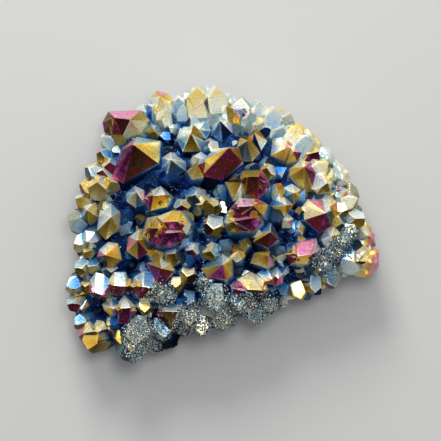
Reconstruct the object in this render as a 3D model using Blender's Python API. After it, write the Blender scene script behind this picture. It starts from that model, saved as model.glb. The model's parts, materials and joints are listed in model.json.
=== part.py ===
"""Aura quartz cluster: one loose lump of quartz, domed, crowded with hexagonal points.

The lump lies on its broken back with the points facing up. +Z is up, +X is the long way across,
the origin is in the flat break underneath, and the file's lengths are in millimetres until they
are built. Every point is a six-sided prism closed by six sloping faces, fused to the lump.
"""

import math
import random

import bmesh
import bpy
from mathutils import Matrix, Vector, noise

MM = 0.001

# The lump under the points.
RIM_HEIGHT = 5.5  # where the lump is widest
DOME_RISE = 9.5  # from the widest level up to the crown
UNDER_DEPTH = 8.8  # from the widest level down, before the back is cut flat at 0
LUMP_RELIEF = 1.3  # knobs and hollows on the lump's surface
SIDE_RELIEF = 0.05  # how far the side stands in or out, as a share of its reach
SETBACK = 1.4  # how far the lump's side stands inside the cluster's outline
KNOB_SIZE = 3.6  # across one knob
CREST_SHARE = 0.985  # roots sit no further out than this share of the outline
LUMP_SUBDIVISIONS = 3
FLAT_CUT = (90, 90, 20)  # the block that cuts the back flat at 0: long, wide, deep

# The cluster's outline seen from above: distance from the origin in each direction.
OUTLINE = [
    (0, 27.2), (12, 25.8), (24, 24.6), (36, 23.9), (50, 24.2), (64, 24.8), (78, 24.8), (90, 25.2),
    (102, 27.0), (118, 27.8), (128, 28.8), (139, 30.8), (150, 28.6), (165, 28.6), (180, 29.8),
    (192, 29.6), (203, 32.4), (213, 34.2), (220, 35.0), (228, 32.2), (236, 29.4), (246, 24.0),
    (258, 21.0), (272, 19.2), (288, 18.6), (303, 18.6), (318, 20.6), (332, 23.6), (343, 28.6),
    (352, 30.0),
]

# Hollows between the points, as x, y, radius and depth.
HOLLOWS = [
    (-6.0, 8.6, 6.0, 2.6), (-11.5, 16.0, 3.4, 1.8), (-1.0, 1.0, 4.0, 1.6),
    (-19.0, -8.5, 4.0, 2.0), (-24.0, -18.0, 4.0, 2.2), (12.0, 10.8, 3.6, 2.0),
    (16.5, -2.5, 3.2, 1.8), (5.0, -8.6, 3.6, 1.6), (-8.0, 22.5, 3.2, 1.6),
    (-5.0, -12.5, 3.4, 1.6), (-13.5, -18.5, 3.0, 2.0), (14.0, -14.0, 3.4, 1.4),
]

# Quartz points placed one by one, as tip x, tip y, radius, length standing out of the lump,
# lean in x and in y (each against 1 up), and the compass direction of the broadest end face.
CROWN_POINTS = [
    (-2.0, -0.4, 2.2, 4.0, 0.00, -0.05, 80), (-2.8, -4.8, 2.0, 3.2, -0.10, 0.15, 130),
    (8.6, 11.4, 1.7, 3.5, 0.00, 0.35, 250), (-5.8, 6.2, 2.2, 3.8, 0.00, 0.15, 250),
    (-3.6, 5.2, 1.5, 3.0, 0.30, 0.15, 60), (-8.4, 4.0, 1.9, 2.8, 0.00, 0.10, 270),
    (-2.2, 3.8, 1.9, 3.4, 0.00, 0.05, 200), (-6.4, -4.8, 1.6, 3.2, 0.00, 0.00, 250),
    (-9.8, -5.6, 1.9, 3.4, 0.10, 0.25, 240), (-13.4, -5.2, 1.9, 3.2, 0.00, 0.20, 275),
]
LEFT_POINTS = [
    (-24.8, 14.8, 1.6, 3.8, -0.50, 0.50, 240), (-27.4, 11.6, 2.1, 4.4, -0.70, 0.40, 220),
    (-24.4, 11.0, 2.2, 3.4, -0.20, 0.30, 250), (-25.2, 8.4, 2.8, 4.6, -0.20, 0.20, 260),
    (-22.4, 8.6, 1.9, 3.6, 0.05, 0.20, 300), (-22.8, 12.6, 1.6, 3.4, -0.05, 0.30, 270),
    (-28.8, 8.2, 1.9, 4.0, -0.90, 0.30, 230), (-28.0, -5.2, 1.5, 3.2, -0.50, 0.00, 80),
    (-27.0, -8.0, 1.8, 3.0, -0.30, 0.05, 70), (-27.8, -12.0, 1.5, 2.6, -0.20, 0.00, 90),
    (-29.8, 5.4, 1.8, 4.0, -0.90, 0.30, 210), (-31.5, 1.0, 2.3, 4.2, -1.00, 0.10, 200),
    (-30.2, -3.4, 2.0, 4.0, -1.00, 0.00, 160), (-30.0, -8.4, 1.8, 4.0, -1.00, 0.00, 180),
    (-31.8, -12.0, 2.1, 4.2, -1.00, -0.10, 150), (-31.6, -15.8, 2.0, 4.0, -1.00, -0.20, 200),
    (-30.2, -19.8, 1.9, 4.0, -0.90, -0.40, 170), (-27.4, -25.0, 2.8, 5.4, -0.60, -0.90, 210),
]
TOP_POINTS = [
    (-11.6, 22.8, 1.7, 3.5, 0.15, 0.60, 300), (-9.0, 26.0, 2.0, 4.2, 0.00, 0.90, 270),
    (-5.4, 28.0, 3.5, 6.0, -0.25, 1.10, 265), (-1.4, 27.6, 2.8, 6.0, 0.20, 1.20, 285),
    (-4.2, 25.0, 2.0, 4.0, 0.00, 0.70, 270), (5.4, 22.8, 1.8, 3.5, 0.20, 0.70, 300),
    (8.0, 20.8, 1.7, 3.2, 0.40, 0.50, 260), (3.6, 25.6, 2.5, 4.5, 0.10, 1.10, 260),
    (7.2, 25.2, 2.3, 4.0, 0.30, 1.20, 290), (10.4, 23.8, 2.2, 4.0, 0.50, 1.10, 270),
    (13.4, 22.4, 2.1, 4.0, 0.60, 1.00, 250), (15.6, 20.4, 2.5, 4.5, 0.90, 1.00, 240),
    (12.0, 19.8, 1.8, 3.0, 0.40, 0.60, 250),
]
RIGHT_POINTS = [
    (20.2, 8.6, 2.3, 4.0, 0.30, 0.10, 160), (23.6, 0.6, 1.9, 3.4, 0.60, 0.00, 160),
    (24.6, 3.4, 1.6, 3.2, 0.70, 0.10, 150), (24.8, -3.2, 1.6, 3.0, 0.50, -0.20, 120),
    (22.6, -6.0, 2.0, 3.0, 0.40, -0.30, 100), (20.4, -8.2, 1.8, 3.0, 0.30, -0.40, 110),
    (26.4, -1.0, 1.8, 3.0, 0.80, 0.00, 140), (17.8, 18.0, 2.6, 4.5, 1.00, 0.80, 235),
    (19.0, 14.8, 2.2, 3.5, 0.90, 0.50, 250), (21.0, 12.4, 2.2, 4.0, 1.00, 0.50, 220),
    (26.6, 5.2, 1.9, 3.8, 1.10, 0.20, 200), (28.2, 1.4, 2.1, 4.2, 1.10, 0.10, 240),
    (27.4, -9.2, 2.7, 4.2, 0.80, -0.80, 300),
]
LOWER_POINTS = [
    (22.2, -12.2, 2.1, 4.2, 0.40, -0.90, 100), (18.4, -13.4, 1.9, 4.0, 0.30, -1.00, 80),
    (15.4, -14.6, 2.0, 4.0, 0.30, -1.00, 110), (3.6, -13.8, 2.1, 4.0, -0.20, -0.40, 100),
    (5.8, -15.8, 1.5, 3.5, 0.00, -0.60, 90), (2.6, -16.4, 2.4, 4.0, -0.10, -0.60, 90),
    (6.4, -19.8, 2.0, 5.0, 0.20, -1.20, 90), (9.4, -17.4, 1.8, 4.0, 0.30, -1.00, 90),
    (-1.8, -16.8, 2.8, 6.0, 0.00, -0.80, 90), (-3.4, -11.4, 1.9, 3.6, 0.00, -0.30, 100),
    (-0.6, -20.8, 2.4, 5.2, 0.00, -1.20, 90), (-7.0, -15.6, 1.7, 3.5, 0.00, -0.40, 80),
    (-6.8, -19.8, 2.3, 4.5, 0.05, -0.80, 90), (-4.2, -21.8, 2.1, 5.0, 0.20, -1.10, 100),
    (-12.8, -13.8, 2.3, 3.6, 0.00, -0.30, 90), (-10.8, -14.4, 1.5, 3.0, 0.00, -0.30, 90),
    (-7.2, -10.0, 1.9, 3.4, 0.00, -0.15, 80), (-9.6, -12.0, 1.5, 3.0, 0.00, -0.20, 90),
    (-15.8, -17.0, 1.6, 3.2, 0.00, -0.50, 90), (-17.4, -23.6, 3.2, 5.5, 0.00, -0.70, 90),
    (-18.6, -27.6, 2.5, 7.0, -0.05, -1.30, 270), (-20.8, -23.6, 1.6, 4.0, -0.20, -0.70, 90),
    (-12.0, -22.4, 2.5, 5.0, 0.10, -0.90, 90),
]

# Points given face by face: length standing out of the lump, the tip or the two ends of the tip's
# ridge, and the corners of its shoulder going round, on a grid of GRID steps seen from above.
KEY_POINTS = [
    (8.0, [(-90, 81)], [(-65, 62), (-63, 85), (-87, 89), (-103, 76), (-112, 48), (-100, 42)]),
    (7.0, [(-109, 108), (-93, 106)], [(-116, 115), (-83, 116), (-75, 106), (-83, 93), (-104, 84),
                                      (-120, 94), (-122, 104)]),
    (6.4, [(-64, 130)], [(-74, 128), (-67, 136), (-57, 133), (-49, 122), (-53, 107), (-68, 113)]),
    (4.0, [(-72, 119)], [(-78, 122), (-67, 123), (-66, 110), (-72, 104), (-78, 110)]),
    (5.0, [(2, 119)], [(-6, 122), (7, 125), (16, 114), (13, 102), (5, 95), (-6, 104)]),
    (4.0, [(10, 116), (19, 117)], [(6, 118), (22, 120), (31, 110), (27, 99), (14, 100), (7, 109)]),
    (4.4, [(30, 93)], [(24, 90), (33, 98), (43, 85), (37, 75), (28, 82)]),
    (4.8, [(23, 85)], [(16, 88), (25, 90), (36, 73), (28, 64), (19, 64), (14, 79)]),
    (7.2, [(5, 78)], [(14, 78), (19, 64), (-1, 46), (-22, 50), (-19, 66), (-10, 77)]),
    (5.6, [(-26, 61)], [(-14, 66), (-24, 67), (-37, 55), (-32, 46), (-20, 49)]),
    (6.4, [(24, 49), (34, 49)], [(19, 55), (37, 56), (43, 43), (41, 33), (33, 27), (21, 31), (17, 46)]),
    (5.2, [(17, 43)], [(1, 44), (17, 48), (23, 38), (17, 28), (9, 25)]),
    (6.6, [(13, 19), (29, 20)], [(3, 12), (15, 28), (31, 27), (43, 21), (39, 10), (8, 6)]),
    (5.5, [(9, 5), (28, 8)], [(2, 8), (13, 14), (31, 13), (39, 4), (28, -6), (7, -3)]),
    (4.8, [(46, -6)], [(47, 7), (54, -13), (44, -22), (29, -16), (33, -7)]),
    (4.4, [(44, -29)], [(47, -22), (50, -36), (44, -41), (26, -37), (30, -27)]),
    (5.2, [(-1, -38)], [(-2, -22), (8, -32), (7, -46), (2, -53), (-17, -51), (-23, -42)]),
    (6.0, [(-60, 4), (-46, 5)], [(-67, 9), (-52, 15), (-43, 14), (-33, 1), (-38, -8), (-60, -6)]),
    (5.4, [(-58, -7), (-44, -6)], [(-62, -4), (-52, 2), (-41, 0), (-36, -7), (-43, -16), (-66, -21),
                                   (-70, -10)]),
    (5.6, [(-73, -2), (-65, -2)], [(-76, 8), (-64, 11), (-59, -2), (-64, -14), (-72, -18), (-79, -8)]),
    (4.4, [(-86, -14)], [(-84, -3), (-76, -13), (-75, -27), (-86, -33), (-97, -25), (-95, -11)]),
    (4.8, [(-118, -29)], [(-125, -24), (-116, -16), (-105, -17), (-102, -34), (-115, -45), (-127, -31)]),
    (5.0, [(-112, 9)], [(-124, 16), (-113, 24), (-103, 14), (-105, -3), (-118, -14), (-127, -5)]),
    (4.6, [(-137, 16)], [(-143, 23), (-128, 24), (-126, 9), (-134, -4), (-143, 4)]),
    (3.4, [(-134, -16)], [(-139, -12), (-131, -11), (-127, -20), (-130, -27), (-139, -31), (-142, -20)]),
    (4.6, [(-87, 34)], [(-97, 33), (-89, 40), (-80, 36), (-79, 22), (-88, 18), (-97, 25)]),
    (4.6, [(-70, 30), (-58, 31)], [(-72, 35), (-63, 40), (-53, 31), (-56, 19), (-73, 15), (-79, 25)]),
    (4.8, [(-33, 92)], [(-44, 98), (-31, 100), (-17, 83), (-23, 74), (-41, 74), (-47, 87)]),
    (3.8, [(-25, 96)], [(-31, 102), (-19, 105), (-13, 95), (-18, 87), (-30, 91)]),
    (4.2, [(-4, 105)], [(-12, 99), (-5, 111), (7, 105), (9, 92), (-2, 83), (-13, 91)]),
    (4.2, [(-53, 66)], [(-62, 68), (-53, 74), (-38, 64), (-38, 55), (-58, 46), (-63, 58)]),
    (5.4, [(80, 59)], [(67, 58), (76, 66), (87, 64), (94, 52), (91, 33), (80, 31), (65, 50)]),
    (5.8, [(101, 13)], [(78, 21), (83, 27), (98, 26), (109, 17), (108, 0), (95, -7), (80, 6)]),
    (4.6, [(106, 20)], [(94, 28), (102, 33), (113, 24), (118, 10), (116, -5), (106, -3)]),
    (4.2, [(107, -10)], [(102, -3), (110, 0), (117, -8), (112, -19), (103, -23), (97, -14)]),
    (5.2, [(73, -30), (87, -28)], [(72, -17), (92, -12), (94, -26), (83, -38), (70, -37), (64, -25)]),
    (3.6, [(113, 36), (120, 36)], [(110, 44), (118, 48), (124, 42), (122, 30), (113, 29)]),
    (4.4, [(61, 77)], [(47, 86), (56, 92), (65, 91), (67, 78), (61, 65), (47, 70)]),
    (4.2, [(69, 74)], [(65, 81), (74, 84), (83, 73), (72, 65), (62, 62)]),
    (3.6, [(70, 33)], [(58, 38), (68, 42), (77, 36), (78, 27), (69, 21), (60, 30)]),
    (3.8, [(62, 21)], [(49, 28), (60, 29), (69, 21), (60, 9), (51, 9), (45, 19)]),
    (3.6, [(53, 37)], [(46, 34), (50, 42), (57, 43), (61, 34), (56, 26), (48, 26)]),
    (3.0, [(63, 5)], [(56, 8), (63, 13), (69, 7), (67, -2), (58, -2)]),
    (3.2, [(74, -2)], [(68, 2), (75, 6), (80, -1), (78, -10), (69, -10)]),
    (3.6, [(14, -24)], [(4, -22), (14, -17), (23, -27), (18, -33), (12, -36), (5, -30)]),
    (5.2, [(24, -63), (38, -64)], [(13, -53), (26, -46), (41, -51), (44, -64), (38, -78), (20, -75),
                                   (11, -70)]),
    (4.0, [(48, -53)], [(33, -47), (42, -41), (52, -48), (50, -58), (41, -56)]),
    (3.8, [(54, -52)], [(46, -46), (53, -40), (60, -47), (58, -57), (51, -60)]),
    (4.0, [(59, -77)], [(51, -75), (57, -69), (64, -72), (65, -81), (56, -83)]),
    (4.6, [(85, -55)], [(73, -54), (82, -48), (93, -51), (94, -63), (86, -75), (75, -67)]),
    (4.4, [(-129, -66), (-121, -69)], [(-134, -54), (-128, -46), (-120, -48), (-112, -54), (-114, -72),
                                       (-127, -74), (-135, -66)]),
    (4.2, [(-110, -59), (-97, -60)], [(-115, -55), (-110, -46), (-98, -46), (-94, -59), (-102, -69),
                                      (-111, -68), (-116, -62)]),
    (4.6, [(-81, -60), (-68, -62)], [(-89, -51), (-80, -45), (-70, -46), (-65, -58), (-73, -72), (-85, -72),
                                     (-89, -64)]),
    (4.4, [(-62, -42)], [(-77, -37), (-64, -31), (-48, -35), (-50, -45), (-60, -58), (-68, -56)]),
    (4.6, [(-103, -82), (-93, -81)], [(-105, -76), (-99, -68), (-90, -80), (-94, -97), (-106, -97)]),
    (4.0, [(-112, -82)], [(-122, -78), (-112, -72), (-104, -77), (-104, -86), (-111, -92), (-120, -84)]),
    (5.6, [(-140, -107), (-129, -105)], [(-146, -102), (-139, -91), (-127, -103), (-121, -114),
                                         (-128, -125), (-140, -121), (-146, -111)]),
    (4.2, [(-143, -84)], [(-150, -74), (-146, -70), (-137, -73), (-135, -80), (-142, -90), (-148, -83)]),
    (3.4, [(-114, -104)], [(-119, -100), (-115, -93), (-110, -104), (-108, -114), (-118, -113)]),
    (5.8, [(134, -35), (150, -36)], [(126, -35), (132, -26), (145, -23), (154, -31), (155, -39),
                                     (146, -46), (130, -45)]),
    (4.6, [(144, -10)], [(134, -2), (142, 1), (150, -9), (153, -20), (143, -23), (134, -14)]),
    (4.8, [(-61, -85), (-44, -85)], [(-65, -80), (-52, -76), (-43, -79), (-40, -88), (-45, -99),
                                     (-54, -104), (-64, -92)]),
]

# The girdle of smaller points round the lump's side, as rows of level, count, reach past the
# outline, and lean outwards against 1 up.
GIRDLE_ROWS = [(3.4, 25, -0.3, 1.9), (7.0, 30, 0.3, 1.2)]
GIRDLE_RADIUS = (1.4, 2.4)
GIRDLE_STANDING = (3.0, 4.4)
GIRDLE_STRAY = 0.8  # how far one of them sits above or below its row
GIRDLE_SWING = 0.35  # how far one of them leans round the lump
GIRDLE_SEED = 11

# A quartz point's own proportions, as shares of its radius.
END_SLOPE_DEG = 51.8  # between an end face and the plane across the point
FLANK_SPREAD = 0.30  # how much wider it gets for each step down its side, not a share
SHOULDER_DROP = 0.95  # how far its shoulder lies below its tip
UNEVEN_SIDE = 0.10  # how far one side of the prism may stand in or out
UNEVEN_END = 0.11  # how far up or down one end face may be cut
MINOR_RAISE = 0.38  # how much higher every second end face is cut, which makes it smaller
BROAD_CUT = 0.18  # how much lower the broadest end face is cut
FOOT_SPARE = 1.3  # how much wider its blank is at the foot than the flanks need
BURIED = 3.0  # length of the point's root inside the lump, before its share of the radius
BURIED_SHARE = 0.5
SHAPE_SEED = 5

# A point given face by face.
GRID = 0.2
END_DEPTH = 1.1  # how far its shoulder lies below the tip, against its reach from the tip
DEPTH_SHARE = 0.55  # how far each corner follows its own reach, and not the mean one
LEAN_SHARE = 0.5  # how far it leans toward its off-centre tip
RIM_LEAN = 0.8  # how far it leans outwards at the cluster's outline
CROWN_LEAN = 0.2  # how far the ones in the middle lean toward +Y
KEY_SPREAD = 0.34  # how much wider it gets for each step down its side
RIM_SPREAD = 0.08  # the same at the cluster's outline
SHOULDER_MARGIN = 1.5  # length of its side below the lowest shoulder, at least
NEARLY_FLAT_DEG = 4  # faces this close to one plane are one face


def clear_scene():
    for obj in list(bpy.data.objects):
        bpy.data.objects.remove(obj, do_unlink=True)


def new_collection(name):
    collection = bpy.data.collections.new(name)
    bpy.context.scene.collection.children.link(collection)
    return collection


def outline_radius(angle):
    """The lump's reach in a direction, smooth all the way round."""
    degrees = math.degrees(angle) % 360
    count = len(OUTLINE)
    after = next((i for i, (at, _) in enumerate(OUTLINE) if at > degrees), count)
    before = after - 1
    start = OUTLINE[before][0]
    end = OUTLINE[after % count][0] + (360 if after == count else 0)
    t = (degrees - start) / (end - start)
    p0, p1, p2, p3 = (OUTLINE[(before + k) % count][1] for k in (-1, 0, 1, 2))
    return p1 + 0.5 * t * (p2 - p0 + t * (2 * p0 - 5 * p1 + 4 * p2 - p3 + t * (3 * (p1 - p2) + p3 - p0)))


def outline_share(x, y):
    """How far out a place is: 0 at the middle, 1 on the outline."""
    return math.hypot(x, y) / outline_radius(math.atan2(y, x))


def dome_height(x, y):
    """Level of the lump's upper surface at a place inside the outline."""
    share = min(outline_share(x, y), CREST_SHARE)
    height = RIM_HEIGHT + DOME_RISE * math.sqrt(1 - share**2)
    for hollow_x, hollow_y, radius, depth in HOLLOWS:
        away = math.hypot(x - hollow_x, y - hollow_y) / radius
        height -= depth * math.exp(-(away**2))
    return height


def build_lump(collection):
    """A ball pressed into the outline and knobbled. Its underside reaches below the flat back."""
    bm = bmesh.new()
    bmesh.ops.create_icosphere(bm, subdivisions=LUMP_SUBDIVISIONS, radius=1)
    for vert in bm.verts:
        out = vert.co.copy()
        reach = outline_radius(math.atan2(out.y, out.x)) - SETBACK
        x, y = out.x * reach, out.y * reach
        if out.z > 0:
            inside = math.hypot(out.x, out.y) < CREST_SHARE
            z = dome_height(x, y) if inside else RIM_HEIGHT + DOME_RISE * out.z
        else:
            z = RIM_HEIGHT + UNDER_DEPTH * out.z
        place = Vector((x, y, z)) / KNOB_SIZE
        raised = LUMP_RELIEF * noise.noise(place)
        widened = 1 + SIDE_RELIEF * noise.noise(place + Vector((40, 0, 0)))
        vert.co = Vector((x * widened, y * widened, z + raised)) * MM
    mesh = bpy.data.meshes.new("lump")
    bm.to_mesh(mesh)
    bm.free()
    obj = bpy.data.objects.new("aura_quartz_cluster", mesh)
    collection.objects.link(obj)
    return obj


def build_flat_cut(collection):
    """The block whose top cuts the back flat at 0."""
    bm = bmesh.new()
    bmesh.ops.create_cube(bm, size=1)
    bmesh.ops.scale(bm, verts=bm.verts, vec=Vector(FLAT_CUT) * MM)
    bmesh.ops.translate(bm, verts=bm.verts, vec=(0, 0, -FLAT_CUT[2] / 2 * MM))
    return add_helper(collection, "flat_cut", bm)


def add_helper(collection, name, bm):
    """A shape that is joined to the lump or cut from it, and isn't a piece of its own."""
    mesh = bpy.data.meshes.new(name)
    bm.to_mesh(mesh)
    bm.free()
    obj = bpy.data.objects.new(name, mesh)
    collection.objects.link(obj)
    obj.hide_render = True
    obj.display_type = "WIRE"
    return obj


def cut_flat(bm, point, normal):
    """Slices everything beyond a plane off a convex solid and closes the cut."""
    geometry = bm.verts[:] + bm.edges[:] + bm.faces[:]
    cut = bmesh.ops.bisect_plane(
        bm, geom=geometry, dist=1e-7, plane_co=point, plane_no=normal, clear_outer=True
    )
    edges = [item for item in cut["geom_cut"] if isinstance(item, bmesh.types.BMEdge)]
    if edges:
        bmesh.ops.edgeloop_fill(bm, edges=edges)


def quartz_point(radius, length, rng):
    """A quartz point along +Z with its tip at about the origin. Its first end face looks along +X."""
    bm = bmesh.new()
    top_reach = radius * (1 + 2 * UNEVEN_SIDE)
    foot_reach = top_reach + FOOT_SPARE * FLANK_SPREAD * length
    bmesh.ops.create_cone(bm, cap_ends=True, segments=6, radius1=foot_reach, radius2=top_reach, depth=length)
    bmesh.ops.translate(bm, verts=bm.verts, vec=(0, 0, -length / 2))
    bmesh.ops.rotate(bm, verts=bm.verts, matrix=Matrix.Rotation(math.radians(30), 3, "Z"))
    side_reach = radius * math.cos(math.radians(30))
    slope = math.radians(END_SLOPE_DEG)
    for k in range(6):
        turn = Matrix.Rotation(math.radians(60 * k), 3, "Z")
        side_out = turn @ Vector((1, 0, 0))
        end_out = turn @ Vector((math.sin(slope), 0, math.cos(slope)))
        uneven = 1 + rng.uniform(-UNEVEN_SIDE, UNEVEN_SIDE)
        shoulder = side_out * side_reach * uneven - Vector((0, 0, SHOULDER_DROP * radius))
        cut_flat(bm, shoulder, side_out + Vector((0, 0, FLANK_SPREAD)))
        raised = rng.uniform(-UNEVEN_END, UNEVEN_END) + MINOR_RAISE * (k % 2)
        lowered = BROAD_CUT if k == 0 else -raised
        cut_flat(bm, Vector((0, 0, -lowered * radius)), end_out)
    return bm


def place_point(bm, tip, lean, broad_deg):
    """Stands a point on its lean, turned so that its first end face looks the given way."""
    axis = Vector((lean[0], lean[1], 1)).normalized()
    upright = Vector((0, 0, 1)).rotation_difference(axis).to_matrix()
    spin = Matrix.Rotation(math.radians(broad_deg), 3, "Z")
    bmesh.ops.transform(bm, verts=bm.verts, matrix=(upright @ spin).to_4x4())
    bmesh.ops.translate(bm, verts=bm.verts, vec=tip)
    bmesh.ops.scale(bm, verts=bm.verts, vec=(MM, MM, MM))


def add_point(collection, name, row, rng, root_level=None):
    """One placed point: its tip stands over the level of the lump at its root."""
    x, y, radius, standing, lean_x, lean_y, broad_deg = row
    axis = Vector((lean_x, lean_y, 1)).normalized()
    root_x, root_y = x - axis.x * standing, y - axis.y * standing
    level = dome_height(root_x, root_y) if root_level is None else root_level
    bm = quartz_point(radius, standing + BURIED + BURIED_SHARE * radius, rng)
    place_point(bm, Vector((x, y, level + axis.z * standing)), (lean_x, lean_y), broad_deg)
    add_helper(collection, name, bm)


def add_key_point(collection, name, row):
    """One point given face by face: the closed hull of its tips, its shoulder and its root."""
    standing, tips, corners = row
    tips = [Vector(tip) * GRID for tip in tips]
    ring = [Vector(corner) * GRID for corner in corners]
    middle = sum(ring, Vector((0, 0))) / len(ring)
    crest = sum(tips, Vector((0, 0))) / len(tips)
    reaches = [min((corner - tip).length for tip in tips) for corner in ring]
    mean = sum(reaches) / len(reaches)
    lean = (crest - middle) * LEAN_SHARE / (END_DEPTH * mean)
    share = outline_share(*middle)
    lean += middle.normalized() * RIM_LEAN * share**4 + Vector((0, CROWN_LEAN * (1 - share**4)))
    axis = Vector((*lean, 1)).normalized()
    top = Vector((*crest, dome_height(*middle) + standing * axis.z))

    def lowered(place, depth):
        """The point above or below a place that lies this deep below the tip along the axis."""
        return Vector((*place, top.z - (depth + (place - crest).dot(axis.xy)) / axis.z))

    depths = [END_DEPTH * (DEPTH_SHARE * reach + (1 - DEPTH_SHARE) * mean) for reach in reaches]
    crests = [lowered(tip, 0) for tip in tips]
    shoulders = [lowered(corner, depth) for corner, depth in zip(ring, depths)]
    length = max(standing + BURIED + BURIED_SHARE * mean, max(depths) + SHOULDER_MARGIN)
    spread = KEY_SPREAD + (RIM_SPREAD - KEY_SPREAD) * share**4
    roots = []
    for shoulder, depth in zip(shoulders, depths):
        across = shoulder - top + axis * depth
        roots.append(top - axis * length + across * (1 + spread * (length - depth) / across.length))
    bm = bmesh.new()
    for place in crests + shoulders + roots:
        bm.verts.new(place)
    hull = bmesh.ops.convex_hull(bm, input=bm.verts)
    inside = {item for item in hull["geom_interior"] + hull["geom_unused"] if item.is_valid}
    bmesh.ops.delete(bm, geom=[item for item in inside if isinstance(item, bmesh.types.BMVert)])
    flat = math.radians(NEARLY_FLAT_DEG)
    bmesh.ops.dissolve_limit(bm, angle_limit=flat, verts=bm.verts, edges=bm.edges)
    bmesh.ops.recalc_face_normals(bm, faces=bm.faces)
    bmesh.ops.scale(bm, verts=bm.verts, vec=(MM, MM, MM))
    add_helper(collection, name, bm)


def girdle_points():
    """Rows like the placed ones, with a root level, for the points round the side."""
    rng = random.Random(GIRDLE_SEED)
    for level, count, past, tilt in GIRDLE_ROWS:
        for k in range(count):
            angle = math.tau * (k + rng.uniform(-0.3, 0.3)) / count
            reach = outline_radius(angle) + past + rng.uniform(-0.4, 0.4)
            swing = angle + rng.uniform(-GIRDLE_SWING, GIRDLE_SWING)
            tip = (reach * math.cos(angle), reach * math.sin(angle))
            lean = (tilt * math.cos(swing), tilt * math.sin(swing))
            radius = rng.uniform(*GIRDLE_RADIUS)
            standing = rng.uniform(*GIRDLE_STANDING)
            root_level = level + rng.uniform(-GIRDLE_STRAY, GIRDLE_STRAY)
            yield (*tip, radius, standing, *lean, rng.uniform(0, 360)), root_level


def fuse(body, points, flat_cut):
    """Joins every point to the lump as one solid, then cuts its back flat."""
    union = body.modifiers.new("fused points", "BOOLEAN")
    union.operation = "UNION"
    union.operand_type = "COLLECTION"
    union.collection = points
    union.solver = "EXACT"
    back = body.modifiers.new("flat back", "BOOLEAN")
    back.operation = "DIFFERENCE"
    back.object = flat_cut
    back.solver = "EXACT"


def coated_quartz():
    """Quartz under a thin bright titanium film."""
    material = bpy.data.materials.new("aura_quartz")
    material.use_nodes = True
    shader = material.node_tree.nodes["Principled BSDF"]
    shader.inputs["Base Color"].default_value = (0.16, 0.20, 0.34, 1)
    shader.inputs["Metallic"].default_value = 0.9
    shader.inputs["Roughness"].default_value = 0.25
    return material


def main():
    clear_scene()
    cluster = new_collection("aura quartz cluster")
    points = new_collection("points to fuse")
    cutters = new_collection("cutters")
    body = build_lump(cluster)
    rng = random.Random(SHAPE_SEED)
    placed = CROWN_POINTS + LEFT_POINTS + TOP_POINTS + RIGHT_POINTS + LOWER_POINTS
    for number, row in enumerate(placed):
        add_point(points, f"point_{number:03d}", row, rng)
    for number, row in enumerate(KEY_POINTS):
        add_key_point(points, f"key_{number:02d}", row)
    for number, (row, level) in enumerate(girdle_points()):
        add_point(points, f"girdle_{number:02d}", row, rng, level)
    fuse(body, points, build_flat_cut(cutters))
    body.data.materials.append(coated_quartz())


main()
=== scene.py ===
"""Looks of the aura quartz cluster: a domed lump crowded with hexagonal points under an iridescent film.

The points are grown again from the same tables as the part's, with bevelled ridges, and fused to a
rough lump. Smaller points fill the valleys and the sides, steps break up the ends of some large ones,
soft mounds line part of the rim, and grains coat the rough points. The film's colour at a place
follows its thickness there: thinnest in the valleys, thickest on the point ends. Painted light and
shade darken or whiten that colour: faces toward the lit side are painted bright, faces away from it
and the valley floors painted dark, and ridges carry a painted highlight.
Lengths are in millimetres until a mesh is built. The material and the studio are in metres.
"""

import json
import math
import random

import bmesh
import bpy
import numpy as np
from mathutils import Matrix, Vector, noise

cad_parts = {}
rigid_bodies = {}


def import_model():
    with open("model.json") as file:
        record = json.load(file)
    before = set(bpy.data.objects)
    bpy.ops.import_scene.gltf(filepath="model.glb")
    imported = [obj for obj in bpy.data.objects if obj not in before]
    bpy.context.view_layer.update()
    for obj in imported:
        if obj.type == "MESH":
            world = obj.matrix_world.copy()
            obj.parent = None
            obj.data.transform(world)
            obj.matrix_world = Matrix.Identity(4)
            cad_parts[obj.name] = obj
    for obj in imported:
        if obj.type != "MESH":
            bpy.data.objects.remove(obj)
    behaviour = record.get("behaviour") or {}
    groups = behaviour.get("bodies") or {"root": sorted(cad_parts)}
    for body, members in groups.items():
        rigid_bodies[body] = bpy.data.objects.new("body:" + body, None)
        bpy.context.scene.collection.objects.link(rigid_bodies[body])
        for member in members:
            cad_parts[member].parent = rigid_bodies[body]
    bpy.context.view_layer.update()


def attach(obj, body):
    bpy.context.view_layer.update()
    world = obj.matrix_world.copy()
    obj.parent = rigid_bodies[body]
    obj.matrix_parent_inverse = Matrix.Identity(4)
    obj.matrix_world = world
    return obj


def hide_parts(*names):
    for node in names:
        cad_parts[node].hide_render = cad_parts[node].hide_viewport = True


MM = 0.001
NODE = "aura_quartz_cluster"
BODY = "root"
LOOK_LAYERS = ("film", "glow", "rise")  # what every face corner holds for the material: film, painted light and shade, and height along its point

# The lump under the points, as in the part.
RIM_HEIGHT = 5.5  # level of its widest part
DOME_RISE = 9.5
UNDER_DEPTH = 8.8
SETBACK = 1.4  # how far it stays inside the outline
CREST_SHARE = 0.985  # the share of the outline up to which the dome is followed
LUMP_RELIEF = 1.3
KNOB_SIZE = 3.6  # across one knob of its relief
SIDE_RELIEF = 0.05  # how far its outline wanders, as a share
SIDE_SHIFT = (40, 0, 0)  # where in the noise that comes from
LUMP_SUBDIVISIONS = 6
CRUMB_SIZE = 0.9  # across one crumb of its fine relief
CRUMB_RELIEF = 0.16
CRUMB_FRACTAL = (1.0, 2.2, 3)  # dimension, lacunarity and octaves
BACK_RELIEF = 0.45  # hollows in the broken back
BACK_LIFT = 0.5  # how much of it stays clear of the cut
BACK_CRUMBS = 2  # how much the crumbs count there
BACK_SIZE = 2.4  # across one hollow
BACK_LEVEL = 7.0  # where in the noise they come from
FLAT_CUT = (90, 90, 20)  # the block that cuts the back flat

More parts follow.
